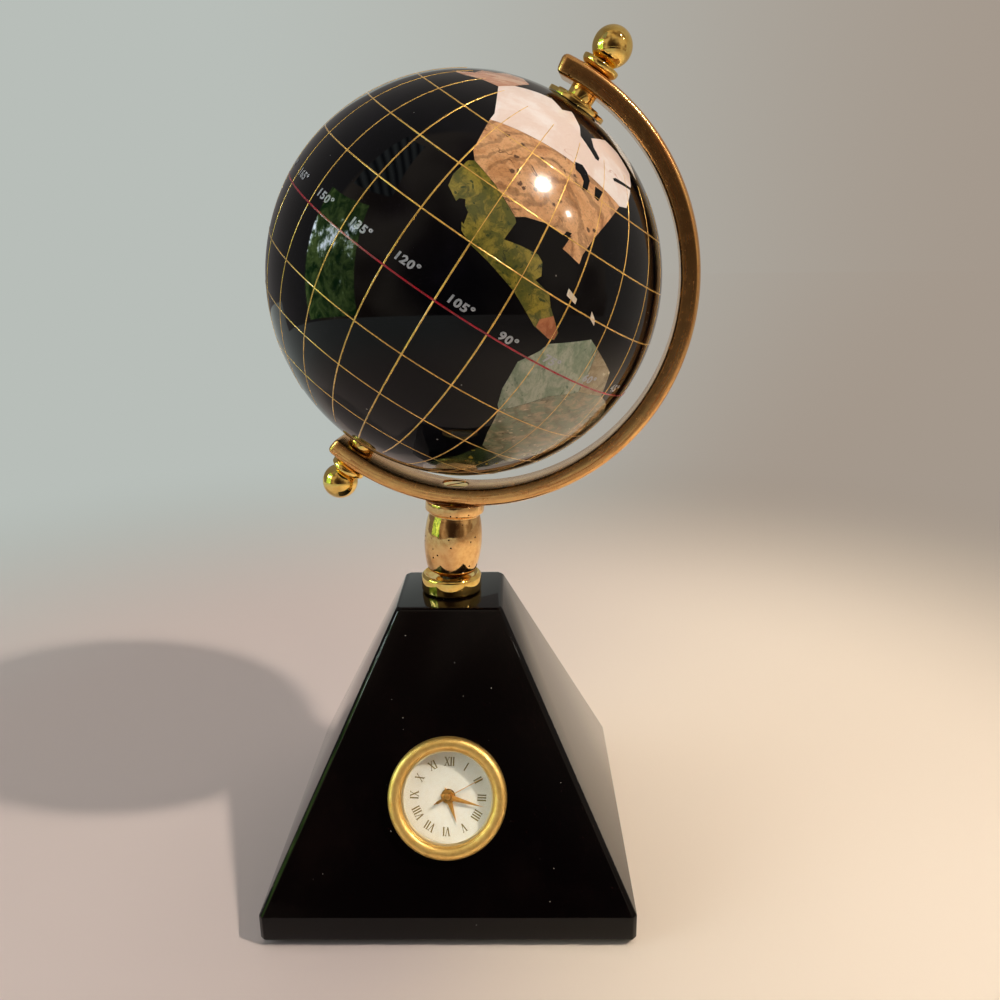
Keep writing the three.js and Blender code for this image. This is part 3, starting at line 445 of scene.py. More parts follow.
def rounded(profile, radius, steps=3):
    """The same outline with each inner corner replaced by a small arc."""
    eased = [profile[0]]
    for before, corner, after in zip(profile, profile[1:], profile[2:]):
        middle = Vector(corner)
        back, on = Vector(before) - middle, Vector(after) - middle
        if math.pi - back.angle(on, math.pi) < math.radians(20):
            eased.append(corner)
            continue
        reach = min(radius, back.length * 0.45, on.length * 0.45)
        start, end = middle + back.normalized() * reach, middle + on.normalized() * reach
        for share in evenly(0, 1, steps):
            point = start * (1 - share) ** 2 + middle * (2 * share * (1 - share)) + end * share ** 2
            eased.append((point.x, point.y))
    eased.append(profile[-1])
    return eased


def disc(name, radius, low, high, where, material, sides=96, ease=0.0):
    section = [(0, low), (radius, low), (radius, high), (0, high)]
    return lathe(name, rounded(section, ease) if ease else section, where, material, sides)


def stacked(name, rings, material, smooth_under=35):
    """A closed body through rings of points, with a flat face at each end."""
    rows, count = len(rings), len(rings[0])
    ends = [tuple(reversed(range(count))), tuple(range((rows - 1) * count, rows * count))]
    points = [point for ring in rings for point in ring]
    return to_mesh(name, points, ends + quads(rows, count), material, smooth_under)


def square_ring(half, cut, z):
    near = half - cut
    return [(x, y, z) for x, y in (
        (near, -half), (half, -near), (half, near), (near, half),
        (-near, half), (-half, near), (-half, -near), (-near, -half))]


def fitted(piece, body, replaced=None):
    """Hangs a piece on the body it rides on, and hides the CAD piece that it stands for."""
    if replaced:
        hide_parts(replaced)
    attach(piece, body)


base_stone = black_stone("black_stone", (4, 2, 3), (12, 6, 6), 0.55, 0.24)
base = stacked("pyramid_base", [square_ring(half, base_bevel, z) for half, z in (
    (base_half - base_bevel, felt_thickness), (base_half, felt_thickness + base_bevel),
    (base_half, felt_thickness + plinth_height), (base_top_half, stone_top - base_bevel / 2),
    (base_top_half - base_bevel / 2, stone_top))], base_stone, 12)
ease = base.modifiers.new("eased_edges", "BEVEL")
ease.width, ease.segments = edge_ease, 3
ease.limit_method, ease.angle_limit = "ANGLE", math.radians(8)
meshed(base)
drilled(base, 20,
        disc("bore", bore_radius, -bore_depth, overrun, clock_frame, base_stone),
        disc("rod_hole", rod_hole_radius, recess_floor - overrun, foot_height + overrun, stem_frame,
             base_stone, 48),
        disc("recess", nut_recess_radius, recess_floor - nut_recess_depth - overrun, recess_floor, stem_frame,
             base_stone, 64))
fitted(base, "stand", "base_block")

# Under the stone lies a thin green felt pad with clipped corners. A steel tie rod, washer and nut in
# the recess above it clamp the stem to the stone.
felt, shader, where = finish("green_felt", Sheen_Weight=0.3, Sheen_Roughness=0.6)
fibres = noise(where, 2400.0, 4.0, warp=1.2)
nap = mixed(spread(fibres, 0.3, 0.7), (20, 42, 30), (44, 84, 60))
felt_patches = spread(noise(where, 90.0), 0.4, 0.8, 0.0, 0.35)
dress(shader, mixed(felt_patches, nap, (34, 58, 44)), 0.95, fibres, 0.08 * mm)


def turned_metal(name, tone, shade, rough=0.28, grain=900.0):
    """Machined metal: fine turning lines, and a little tarnish in patches."""
    made, shader, where = finish(name, Metallic=1.0)
    lines = noise(where, grain, 3.0, 0.7)
    stains = spread(noise(where, grain / 8, 4.0), 0.4, 0.75)
    dress(shader, mixed(stains, tone, shade), spread(lines, 0.3, 0.7, rough - 0.08, rough + 0.1), lines,
          strength=0.5)
    return made


def keep(material, *names):
    """Gives CAD pieces their finish."""
    for name in names:
        for slot in frame["nodes"][name].material_slots:
            slot.material = material


steel = turned_metal("zinc_steel", (176, 178, 180), (128, 126, 122))
keep(felt, "felt_pad")
keep(steel, "tie_rod", "rod_washer", "rod_nut", "axis_rod")


# The foot ring and the stem are turned and cast brass under bright gold plating. The ring has a rounded
# rim and a bright dish, in which the barrel stands. The barrel swells at its middle and ends in a collar
# with a groove for the arm. Casting left slow ripples and a few pits under the plating.
foot_radius, foot_waist, dish_radius, dish_slope = 6.7 * mm, 6.2 * mm, 5.9 * mm, 0.7 * mm
barrel_foot, barrel_end, barrel_belly, barrel_neck = 3.4 * mm, 5.3 * mm, 6.4 * mm, 5.5 * mm
barrel_foot_edge, barrel_swell_power = 1.2 * mm, 0.75
collar_radius, collar_height, collar_chamfer = 6.5 * mm, 2.2 * mm, 0.7 * mm
seat_gap, closing_gap = 0.3 * mm, 0.01 * mm
arm_underside, groove_depth = 17.4 * mm, 0.6 * mm

plating, given, out = shader_group("gold_plating", ("Bright", "Deep"), ("Ripple", "Pits", "Smooth", "Worn"),
                                   ("Colour", "Roughness", "Height"))
ripples = noise(given["Vector"], per(given["Ripple"]), 3.0, 0.45)
rubbed = noise(given["Vector"], 620.0, 6.0, 0.65)
distance, chance, _ = cells(given["Vector"], 720.0)
pit = times(maths("LESS_THAN", distance, 0.15), maths("LESS_THAN", chance, given["Pits"]))
wear = times(spread(rubbed, 0.4, 0.8), less(given["Worn"], given["Smooth"]))
give(out, {
    "Colour": mixed(pit, mixed(spread(rubbed, 0.35, 0.75), given["Bright"], given["Deep"]), (66, 38, 14)),
    "Roughness": plus(plus(given["Smooth"], wear), times(pit, 0.4)),
    "Height": less(ripples, pit)})


def gold(name, bright, deep, ripple, pits, smooth, worn, depth):
    made, shader, where = finish(name, Metallic=1.0)
    got = patterned(plating, where, Bright=bright, Deep=deep, Ripple=ripple, Pits=pits, Smooth=smooth,
                    Worn=worn)
    dress(shader, got["Colour"], got["Roughness"], got["Height"], depth)
    return made


cast_gold = gold("cast_gold", (244, 202, 138), (222, 168, 106), 4 * mm, 0.45, 0.06, 0.15, 0.1 * mm)
bright_gold = gold("bright_gold", (255, 222, 132), (240, 194, 98), 7 * mm, 0.01, 0.05, 0.13, 0.04 * mm)


def turned_ring(name, corners, ease, where, material, sides=96):
    """A turned ring from its section's corners in order, closed and eased."""
    radius, height = corners[0]
    return lathe(name, rounded(corners + [(radius, height + closing_gap)], ease), where, material, sides)


foot_top, foot_bead = stone_top + foot_height, foot_radius - foot_waist
foot_ring = turned_ring("foot_ring_turned", [
    (rod_hole_radius, stone_top), (foot_waist, stone_top), (foot_radius, stone_top + foot_bead),
    (foot_radius, foot_top - foot_bead), (foot_waist, foot_top), (dish_radius, foot_top),
    (dish_radius - dish_slope, dish_floor + 0.15 * mm), (barrel_foot + seat_gap, dish_floor),
    (rod_hole_radius, dish_floor)], 0.3 * mm, Matrix.Identity(4), bright_gold)
fitted(foot_ring, "stand", "foot_ring")

barrel_low = seat_gap + barrel_foot * math.sin(math.radians(stem_lean))
barrel_edge = barrel_low + barrel_foot_edge
collar_top = arm_underside - seat_gap + groove_depth
collar_low = collar_top - collar_height
neck_height = collar_low - collar_chamfer
swelling = barrel_belly - (barrel_end + barrel_neck) / 2
belly = []
for share in evenly(0, 1, 24):
    outward = swelling * math.sin(math.pi * share) ** barrel_swell_power
    belly.append((barrel_end + (barrel_neck - barrel_end) * share + outward,
                  barrel_edge + (neck_height - barrel_edge) * share))
barrel = lathe("stem_barrel_cast", rounded(
    [(0, barrel_low), (barrel_foot, barrel_low)] + belly
    + [(collar_radius, collar_low), (collar_radius, collar_top), (0, collar_top)], 0.25 * mm),
    stem_frame, cast_gold)


# The meridian arm is a brass bar, flat inside and crowned with round edges outside, bent a little past a
# half circle and plated. Bending and buffing left long fine streaks along it. A slotted screw sunk in
# its inner face holds it to the stem.
globe_radius = 40 * mm
arm_inner, arm_thickness, arm_half_width = 42.95 * mm, 3.95 * mm, 4.75 * mm
arm_crown, arm_squareness, arm_corner, arm_centre_out = 1.6 * mm, 0.5, 0.5 * mm, 0.6 * mm
arm_past_top, arm_past_bottom = 6.4 * mm, 5.3 * mm
arm_end_ease = [(0.0, 1.15), (0.1, 0.75), (0.3, 0.42), (0.6, 0.2), (1.0, 0.06), (1.5, 0.0)]
axis_tilt = 30
screw_head, screw_head_height, screw_sunk, screw_past_arm = 2.8 * mm, 1.1 * mm, 0.1 * mm, 5.5 * mm
slot_width, slot_reach, slot_depth, slot_turn, shank = 0.6 * mm, 4 * mm, 0.5 * mm, 40, 1.3 * mm
arm_outer, arm_middle = arm_inner + arm_thickness, arm_inner + arm_thickness / 2
arm_from = -math.degrees(math.asin((arm_past_top + arm_centre_out) / arm_middle))
arm_to = 180 + math.degrees(math.asin((arm_past_bottom + arm_centre_out) / arm_middle))
out_at_stem = arm_centre_out * math.sin(math.radians(axis_tilt))
globe_lift = Matrix.Translation((0, 0, arm_underside + arm_outer + out_at_stem))
globe_frame = stem_frame @ globe_lift @ spin(axis_tilt, "Y")


def arm_section(inset):
    """The bar's outline as [reach, side] points, drawn in by an inset for its eased ends."""
    inner, half, shoulder = arm_inner + inset, arm_half_width - inset, arm_outer - arm_crown
    corner = [(inner + arm_corner * (1 - math.sin(angle)), half - arm_corner * (1 - math.cos(angle)))
              for angle in evenly(0, math.pi / 2, 3)]
    crown = [(shoulder + (arm_crown - inset) * math.sin(angle) ** arm_squareness,
              -half * math.copysign(abs(math.cos(angle)) ** arm_squareness, math.cos(angle)))
             for angle in evenly(0, math.pi, 32)[1:-1]]
    return [(reach, -side) for reach, side in reversed(corner)] + crown + corner


def swept_arm(name, material):
    plain_from = arm_end_ease[-1][0]
    stations = [(arm_from + turn, inset) for turn, inset in arm_end_ease]
    stations += [(bearing, 0.0) for bearing in evenly(arm_from + plain_from, arm_to - plain_from, 150)[1:-1]]
    stations += [(arm_to - turn, inset) for turn, inset in reversed(arm_end_ease)]
    rings = []
    for bearing, inset in stations:
        angle = math.radians(bearing)
        rings.append([
            globe_frame @ Vector((arm_centre_out + reach * math.sin(angle), -side, reach * math.cos(angle)))
            for reach, side in arm_section(inset * mm)])
    made = stacked(name, rings, material, 40)
    shape = bmesh.new()
    shape.from_mesh(made.data)
    bmesh.ops.recalc_face_normals(shape, faces=shape.faces)
    shape.to_mesh(made.data)
    shape.free()
    return made


arm_gold, shader, where = finish("arm_gold", Metallic=1.0)
inward = globe_frame.inverted()
centred = node(where, "ShaderNodeMapping", {
    "Vector": where, "Location": inward.to_translation(), "Rotation": inward.to_euler()}).outputs[0]
across, sideways, up = split(centred)
along = node(where, "ShaderNodeCombineXYZ", {
    0: times(maths("ARCTAN2", across, up), 0.0014), 1: sideways,
    2: vector_maths("LENGTH", centred)}).outputs[0]
streaks = noise(along, 2600.0, 3.0, 0.6)
got = patterned(plating, where, Bright=(242, 192, 122), Deep=(230, 172, 106), Ripple=9 * mm, Pits=0.012,
                Smooth=0.2, Worn=0.28)
dress(shader, mixed(spread(streaks, 0.42, 0.68, 0.0, 0.75), got["Colour"], (184, 112, 66)),
      plus(got["Roughness"], spread(streaks, 0.4, 0.8, 0.0, 0.12)),
      plus(got["Height"], times(streaks, 0.25)), 0.02 * mm)

screw_frame = globe_frame @ spin(180 - axis_tilt, "Y")
screw_in = arm_inner + out_at_stem + screw_sunk
screw_out, screw_end = screw_in + screw_head_height, arm_outer + out_at_stem + screw_past_arm
arm = swept_arm("meridian_arm_bent", arm_gold)
drilled(arm, 38, disc("screw_hole", screw_head + 0.12 * mm, arm_inner - overrun, screw_out + 0.1 * mm,
                      screw_frame, arm_gold, 64))
fitted(arm, "stand", "meridian_arm")

groove = swept_arm("groove", cast_gold)
groove.data.transform(globe_frame @ Matrix.Diagonal((1, 1 + seat_gap / arm_half_width, 1, 1)) @ inward)
groove.data.transform(Matrix.Translation(-seat_gap * (stem_frame.to_3x3() @ Vector((0, 0, 1)))))
drilled(barrel, 38, groove)
fitted(barrel, "stand", "stem_barrel")

screw = lathe("arm_screw_slotted", rounded([
    (0, screw_in), (screw_head, screw_in), (screw_head, screw_out), (shank, screw_out),
    (shank, screw_end), (0, screw_end)], 0.15 * mm), screw_frame, bright_gold, 64)
slot_corners = [(x * slot_width / 2, y * slot_reach) for x, y in ((-1, -1), (1, -1), (1, 1), (-1, 1))]
slot_cutter = stacked("slot", [[screw_frame @ spin(slot_turn) @ Vector((x, y, z)) for x, y in slot_corners]
                               for z in (screw_in - slot_depth, screw_in + slot_depth)], bright_gold)
drilled(screw, 35, slot_cutter)
fitted(screw, "stand", "arm_screw")


# A steel axis rod runs through both ends of the arm and the globe. At each end it carries a ball finial
# on a cupped collar, turned from brass and plated, and a spacer or washer keeps the globe off the arm.
# A stepped flange is glued over the globe's north pole.
rod_hole, shown_gap = 1.5 * mm, 0.06 * mm
finial_radius, finial_centre = 3.87 * mm, arm_outer + 5.15 * mm
finial_neck, finial_neck_length = 2.2 * mm, 0.45 * mm
cup_collar, cup_height, cup_inner, cup_depth = 3.85 * mm, 1.75 * mm, 3.1 * mm, 0.75 * mm
flange_radius, flange_rim, flange_step_radius, flange_step = 6.15 * mm, 0.9 * mm, 4.6 * mm, 0.5 * mm
spacer_radius, thrust_radius, thrust_thickness, bush_radius = 2.7 * mm, 3.0 * mm, 1.5 * mm, 3.0 * mm
globe_turn = 17.7
south_frame, spin_frame = globe_frame @ spin(180, "X"), globe_frame @ spin(globe_turn)


def height_on_globe(radius):
    return math.sqrt((globe_radius + shown_gap) ** 2 - radius ** 2)


cup_low = arm_outer + shown_gap
cup_top = cup_low + cup_height
neck_low = cup_top - cup_depth + seat_gap
neck_high = neck_low + finial_neck_length
ball_from = math.pi - math.asin(finial_neck / finial_radius)
ball = [(finial_radius * math.sin(angle), finial_centre + finial_radius * math.cos(angle))
        for angle in evenly(ball_from, 0, 28)]
ball = [(0, neck_low), (finial_neck, neck_low), (finial_neck, neck_high)] + [
    point for point in ball[:-1] if point[1] > neck_high] + [(0, ball[-1][1])]
for end, where in (("top", globe_frame), ("bottom", south_frame)):
    finial = lathe(end + "_finial_ball", ball, where, bright_gold, 72)
    fitted(finial, "stand", end + "_finial")
    cup = turned_ring(end + "_cupped_collar", [
        (rod_hole, cup_low), (cup_inner, cup_low), (cup_collar, cup_low + cup_depth), (cup_collar, cup_top),
        (cup_inner, cup_top), (finial_neck + seat_gap, cup_top - cup_depth), (rod_hole, cup_top - cup_depth)],
        0.45 * mm, where, bright_gold, 72)
    fitted(cup, "stand", end + "_finial_collar")

flange_top = height_on_globe(flange_radius) + flange_rim
for name, radius, low, high, ease, where, replaced in (
        ("top_spacer_turned", spacer_radius, flange_top + flange_step + shown_gap, arm_inner - shown_gap,
         0.15 * mm, globe_frame, "top_spacer"),
        ("thrust_washer_turned", thrust_radius, arm_inner - seat_gap - thrust_thickness, arm_inner - seat_gap,
         0.2 * mm, south_frame, "bottom_thrust_washer")):
    washer = turned_ring(name, [(rod_hole, low), (radius, low), (radius, high), (rod_hole, high)], ease, where,
                         bright_gold, 64)
    fitted(washer, "stand", replaced)
flange = turned_ring("north_flange_stepped", [
    (radius, height_on_globe(radius)) for radius in (rod_hole, bush_radius, flange_radius)] + [
    (flange_radius, flange_top), (flange_step_radius, flange_top),
    (flange_step_radius, flange_top + flange_step), (rod_hole, flange_top + flange_step)],
    0.15 * mm, spin_frame, bright_gold)
fitted(flange, "globe", "north_flange")


def grained(name, tone, other, grain, detail, share, rough, depth=0.01 * mm, texture=0.5, **plain):
    """One fine grain in the colour, the roughness and the surface."""
    made, shader, where = finish(name, **plain)
    grains = noise(where, grain, detail, texture)
    dress(shader, mixed(spread(grains, *share), tone, other), spread(grains, *rough),
          grains if depth else None, depth)
    return made


def moulded(name, tone, other, rough, grain=1200.0, depth=0.01 * mm):
    """Moulded plastic or rubber."""
    return grained(name, tone, other, grain, 4.0, (0.35, 0.7), (0.3, 0.7, rough - 0.06, rough + 0.08), depth)


keep(moulded("pale_nylon", (232, 228, 216), (214, 208, 192), 0.42), "north_bush")
keep(moulded("dark_nylon", (24, 20, 17), (38, 33, 29), 0.4), "south_bush")
keep(moulded("core_resin", (207, 200, 184), (186, 176, 156), 0.65, 500.0, 0.04 * mm),
     "core_north", "core_south")


# The globe's skin is a ground and polished ball of black composite, in which thin plates of natural
# stone are inlaid for the land. The polish runs over black and stone alike, so they meet flush.
layer_thickness, ocean_sink = 1.3 * mm, 0.03 * mm
chip_top, chip_depth = globe_radius + 0.012 * mm, 0.3 * mm
pole_hole = bush_radius + seat_gap
ocean_black = black_stone("ocean_black", (5, 5, 8), (13, 12, 18), 0.35, 0.22)
profile = []
for radius, way in ((globe_radius - ocean_sink, 1), (globe_radius - layer_thickness, -1)):
    edge = math.asin(pole_hole / radius)
    angles = evenly(math.pi - edge, edge, 96)[::way]
    profile += [(radius * math.sin(angle), radius * math.cos(angle)) for angle in angles]
ocean = lathe("ocean_ball", profile, spin_frame, ocean_black, 192, 40)
fitted(ocean, "globe", "ocean_layer")


def direction(east, north):
    return polar(math.cos(math.radians(north)), math.radians(east), math.sin(math.radians(north)))


def inlay(name, outline, material, top=globe_radius, depth=layer_thickness, spacing=0.9 * mm, seam=0.03 * mm):
    """A plate of stone with the globe's curve, inside an outline of [east, north] degrees."""
    corners = [direction(*corner) for corner in outline]
    middle = sum(corners, Vector()).normalized()
    east = Vector((0, 0, 1)).cross(middle).normalized()
    north = middle.cross(east)
    flat = [Vector((corner.dot(east), corner.dot(north))) / corner.dot(middle) for corner in corners]
    if sum(a.x * b.y - b.x * a.y for a, b in zip(flat, flat[1:] + flat[:1])) < 0:
        flat.reverse()
    drawn = []
    for before, corner, after in zip(flat[-1:] + flat[:-1], flat, flat[1:] + flat[:1]):
        back, on = (corner - before).normalized(), (after - corner).normalized()
        drawn_in = Vector((-back.y - on.y, back.x + on.x))
        drawn.append(corner + drawn_in * (seam / globe_radius / max(0.4, 1 + back.dot(on))))
    rim = []
    for start, end in zip(drawn, drawn[1:] + drawn[:1]):
        steps = max(1, math.ceil((end - start).length * globe_radius / spacing))
        rim += [start.lerp(end, step / steps) for step in range(steps)]
    rim_tree = KDTree(len(rim))
    for index, point in enumerate(rim):
        rim_tree.insert((point.x, point.y, 0), index)
    rim_tree.balance()
    pitch = spacing / globe_radius
    points = list(rim)
    low_x, low_y = min(point.x for point in rim), min(point.y for point in rim)
    columns = math.ceil((max(point.x for point in rim) - low_x) / pitch)
    for row in range(1, math.ceil((max(point.y for point in rim) - low_y) / pitch)):
        for column in range(columns + 1):
            point = Vector((low_x + (column + row % 2 / 2) * pitch, low_y + row * pitch))
            if rim_tree.find((point.x, point.y, 0))[2] > pitch * 0.55:
                points.append(point)
    ring = [(index, (index + 1) % len(rim)) for index in range(len(rim))]
    flat_points, _, triangles, *_ = delaunay_2d_cdt(points, ring, [], 1, 1e-7)
    used = sorted({index for triangle in triangles for index in triangle})
    place = {index: order for order, index in enumerate(used)}
    count = len(used)
    over = [(middle + east * flat_points[i].x + north * flat_points[i].y).normalized() for i in used]
    solid = [spin_frame @ (point * radius) for radius in (top, top - depth) for point in over]
    faces, edges = [], set()
    for triangle in triangles:
        a, b, c = (place[index] for index in triangle)
        p, q, r = (flat_points[index] for index in triangle)
        if (q - p).cross(r - p) < 0:
            b, c = c, b
        faces += [(a, b, c), (a + count, c + count, b + count)]
        edges |= {(a, b), (b, c), (c, a)}
    faces += [(b, a, a + count, b + count) for a, b in edges if (b, a) not in edges]
    return to_mesh(name, solid, faces, material, 40)


# Stone: clouds of a second tone in the ground, darker bands and veins, fine grain and scattered flecks.
figure, given, out = shader_group(
    "stone_figure", ("Ground", "Cloud", "Vein", "Fleck"),
    ("Cloud Size", "Cloud Share", "Vein Size", "Vein Width", "Fleck Size", "Fleck Share", "Grain", "Band Size",
     "Band Share"), ("Colour", "Roughness", "Height"))
where, vein_tone = given["Vector"], given["Vein"]
warp = noise(where, per(given["Cloud Size"], 0.6)).node.outputs["Color"]
shifted = vector_maths("MULTIPLY_ADD", warp, (0.004, 0.004, 0.004), where)
clouds = noise(shifted, per(given["Cloud Size"]), 7.0, 0.62, 0.4)
threshold = less(0.8, times(given["Cloud Share"], 0.6))
body = mixed(spread(clouds, less(threshold, 0.1), plus(threshold, 0.1)), given["Ground"], given["Cloud"])
bands = node(figure, "ShaderNodeTexWave", {
    "Vector": shifted, "Scale": per(given["Band Size"], 0.32), "Distortion": 3.5, "Detail": 4.0,
    "Detail Scale": 1.4, "Detail Roughness": 0.6}, wave_type="BANDS", bands_direction="X").outputs["Fac"]
banded = mixed(times(spread(bands, 0.7, 0.98), given["Band Share"]), body, vein_tone)
off_line = maths("ABSOLUTE", less(noise(shifted, per(given["Vein Size"]), 3.0, 0.5, 1.0), 0.5))
broken = spread(noise(where, per(given["Vein Size"], 2.2)), 0.5, 0.66)
veined = mixed(times(spread(off_line, given["Vein Width"], 0.0), broken), banded, vein_tone)
grain = noise(where, 2100.0, 4.0, 0.7)
dark_grain = mixed(times(spread(grain, 0.45, 0.75), given["Grain"]), veined, vein_tone)
light_grain = mixed(times(spread(grain, 0.5, 0.25), given["Grain"]), dark_grain, given["Cloud"])
distance, chance, _ = cells(shifted, per(given["Fleck Size"]))
ragged = spread(plus(distance, times(grain, 0.9)), 0.8, 0.7)
chip = times(ragged, maths("LESS_THAN", chance, given["Fleck Share"]))
give(out, {"Colour": mixed(chip, light_grain, given["Fleck"]), "Height": clouds,
           "Roughness": spread(grain, 0.3, 0.8, 0.1, 0.2)})


def land_stone(name, ground, cloud, vein, cloud_size=6, cloud_share=0.5, vein_size=9, vein_width=0.012,
               fleck=(0, 0, 0), fleck_size=1.0, fleck_share=0.0, grain=0.25, turn=(0, 0, 0), stretch=(1, 1, 1),
               band_size=3, band_share=0.0):
    """A polished stone under the globe's lacquer, with its figure's sizes in millimetres."""
    made, shader, where = finish(name, Coat_Weight=0.6, Coat_Roughness=0.015)
    got = patterned(figure, moved(where, turn, stretch), Ground=ground, Cloud=cloud, Vein=vein, Fleck=fleck,
                    Cloud_Size=cloud_size * mm, Cloud_Share=cloud_share, Vein_Size=vein_size * mm,
                    Vein_Width=vein_width, Fleck_Size=fleck_size * mm, Fleck_Share=fleck_share, Grain=grain,
                    Band_Size=band_size * mm, Band_Share=band_share)
    dress(shader, got["Colour"], got["Roughness"], got["Height"], strength=0.5)
    return made


def land(name, outline, *stone, **more):
    """A plate of stone in the place of one CAD piece."""
    fitted(inlay(name + "_plate", outline, land_stone(*stone, **more)), "globe", name)


# North America: pale pink Canada beside streaky tan Alaska, picture jasper for the United States, and a
# mottled olive stone from Mexico down to Panama. Small black pieces let in for gulfs, bays and lakes
# break them, and chips of shell stand for the islands.
land("land_alaska", [
    (-139.5, 58), (-138, 63), (-141, 69.5), (-156, 71), (-166, 67.5), (-161, 64), (-165.5, 60.5),
    (-160, 57.5), (-165, 53), (-157, 54), (-149, 56.5)],
    "tan_agate", (216, 176, 148), (190, 134, 104), (128, 86, 62), 5, 0.55, 7, 0.02, grain=0.35,
    turn=(20, 0, 40), stretch=(1, 3.2, 1))
land("land_canada", [
    (-139.5, 58), (-125, 48), (-124, 45.5), (-66, 46.5), (-61.5, 47.5), (-55, 56), (-52, 60.5),
    (-58.5, 66), (-69.5, 68), (-83.5, 63.5), (-80, 56), (-90.5, 61), (-92, 65), (-101, 70.5),
    (-107, 67.5), (-119, 70), (-128, 68), (-138, 63)],
    "pink_marble", (236, 212, 200), (245, 232, 226), (214, 172, 154), 9, 0.5, 14, 0.005, grain=0.12)
land("land_united_states", [
    (-124, 45.5), (-119.5, 35), (-117, 33), (-108.5, 31), (-99, 27), (-96.5, 28.5), (-91, 30),
    (-85, 30), (-82.5, 31), (-83.5, 27), (-77, 26), (-77, 28.5), (-75, 34), (-66, 46.5)],
    "picture_jasper", (222, 168, 118), (196, 138, 90), (76, 46, 30), 4, 0.45, 9, 0.022, (96, 66, 48), 1.5, 0.08,
    0.5, (0, 30, 55), (1, 1.6, 1), 1.8, 0.42)
land("land_central_america", [
    (-118.5, 32), (-119, 27), (-118, 24), (-111, 20.5), (-108.5, 17), (-105, 15.5), (-99, 14.5),
    (-90, 12), (-81, 7.5), (-75.5, 6.5), (-74, 7), (-74, 9), (-79.5, 13.5), (-81.5, 16), (-86.5, 17),
    (-85.5, 18.5), (-87, 21.5), (-89, 22.5), (-94, 22), (-98.5, 21), (-98, 26), (-99, 27),
    (-108.5, 31), (-117, 33)],
    "olive_stone", (148, 130, 46), (84, 84, 28), (44, 50, 20), 2.6, 0.55, 5, 0.03, (52, 62, 24), 0.9, 0.2, 0.6)
land("land_greenland", [
    (-44, 60), (-40, 65), (-23, 70.5), (-19, 78), (-35, 80), (-62, 80), (-70, 77), (-56, 74), (-53, 67)],
    "snow_quartz", (240, 236, 230), (222, 214, 206), (190, 180, 172), 7, 0.4, 10, 0.008, grain=0.1)

for name, outline in {
        "west_lakes": [(-89.8, 50.4), (-86.5, 51.0), (-83.6, 49.7), (-81.8, 47.7), (-82.0, 44.4), (-84.1, 44.0),
                       (-84.3, 46.4), (-86.3, 47.8), (-88.7, 48.2)],
        "west_gulf": [(-114.4, 19.6), (-113.6, 23.1), (-112.2, 23.7), (-111.2, 22.3), (-109.7, 21.5),
                      (-108.9, 18.6), (-110.4, 18.9), (-111.8, 20.4), (-112.7, 20.6)],
        "south_bay": [(-85.4, 28.9), (-84.3, 31.4), (-82.6, 31.7), (-83.2, 30.0)],
        "east_lakes": [(-79.0, 47.3), (-75.2, 47.2), (-76.7, 43.7), (-78.6, 44.1)],
        "bay_line": [(-85.0, 60.1), (-83.2, 61.0), (-78.0, 57.5), (-78.7, 56.2), (-80.6, 56.3)],
        "river_line": [(-69.7, 53.8), (-67.9, 54.6), (-56.1, 55.1), (-56.0, 54.2), (-68.9, 53.2)]}.items():
    fitted(inlay(name, outline, ocean_black, chip_top, chip_depth, seam=0), "globe")
panama = [(-80.5, 9.6), (-77.6, 11.9), (-74.3, 9), (-74.2, 7.1), (-75.8, 6.6), (-80.4, 7.6)]
calcite = land_stone("orange_calcite", (152, 84, 44), (180, 110, 66), (104, 54, 30), 2.5, 0.5, 4, 0.02,
                     grain=0.3)
fitted(inlay("panama_tip", panama, calcite, chip_top, chip_depth, seam=0), "globe")
shell = land_stone("pale_shell", (236, 224, 208), (214, 196, 172), (180, 150, 126), 2, 0.5, 3, 0.02)
for name, outline in (("island_chip_west", [(-77.2, 19.6), (-73.5, 18.4), (-73.3, 17.0), (-76.9, 17.8)]),
                      ("island_chip_east", [(-67.5, 17.7), (-65.1, 16.1), (-64.7, 14.7), (-67.0, 15.8)])):
    fitted(inlay(name, outline, shell, chip_top, chip_depth, 0.5 * mm), "globe")

# South America is a cloudy grey-green stone in the west, cream shell stone and a streaky beige one in the
# east, and a dark green stone with gold flecks in the south.
land("land_andes", [
    (-75, 5.5), (-76, 3), (-79.5, -2), (-78.5, -10), (-76.5, -14.5), (-75, -16), (-65.5, -6.5),
    (-57, -2), (-59.5, 10), (-63.5, 11.5)],
    "cloudy_green", (112, 128, 104), (156, 162, 142), (62, 80, 60), 3, 0.5, 8, 0.02, (78, 98, 76), 0.9,
    0.16, 0.45, stretch=(1, 1, 0.6))
land("land_guiana", [(-59.5, 10), (-57, -2), (-46, -1), (-49.5, 6)],
     "cream_breccia", (164, 148, 114), (132, 112, 78), (84, 62, 40), 2.5, 0.5, 4, 0.03, (198, 184, 150),
     1.3, 0.35, 0.4)
land("land_brazil", [
    (-57, -2), (-65.5, -6.5), (-75, -16), (-72, -24), (-69, -29), (-52, -32.5), (-48.5, -28),
    (-41, -22), (-39, -15), (-35, -9), (-35, -6), (-40, -2.5), (-46, -1)],
    "streaky_beige", (164, 146, 116), (112, 120, 94), (82, 76, 54), 3.5, 0.55, 7, 0.018, (196, 178, 148),
    1.0, 0.05, 0.5, (0, 0, 20), (1, 1, 2.6), 2.4, 0.35)
land("land_pampas", [
    (-69, -29), (-71, -37), (-74, -44), (-73.5, -51), (-68, -55), (-66, -48), (-60, -43),
    (-56, -38.5), (-52, -32.5)],
    "dark_serpentine", (50, 66, 36), (34, 44, 26), (18, 24, 14), 4, 0.5, 5, 0.03, (184, 156, 62), 1.3,
    0.3, 0.35)

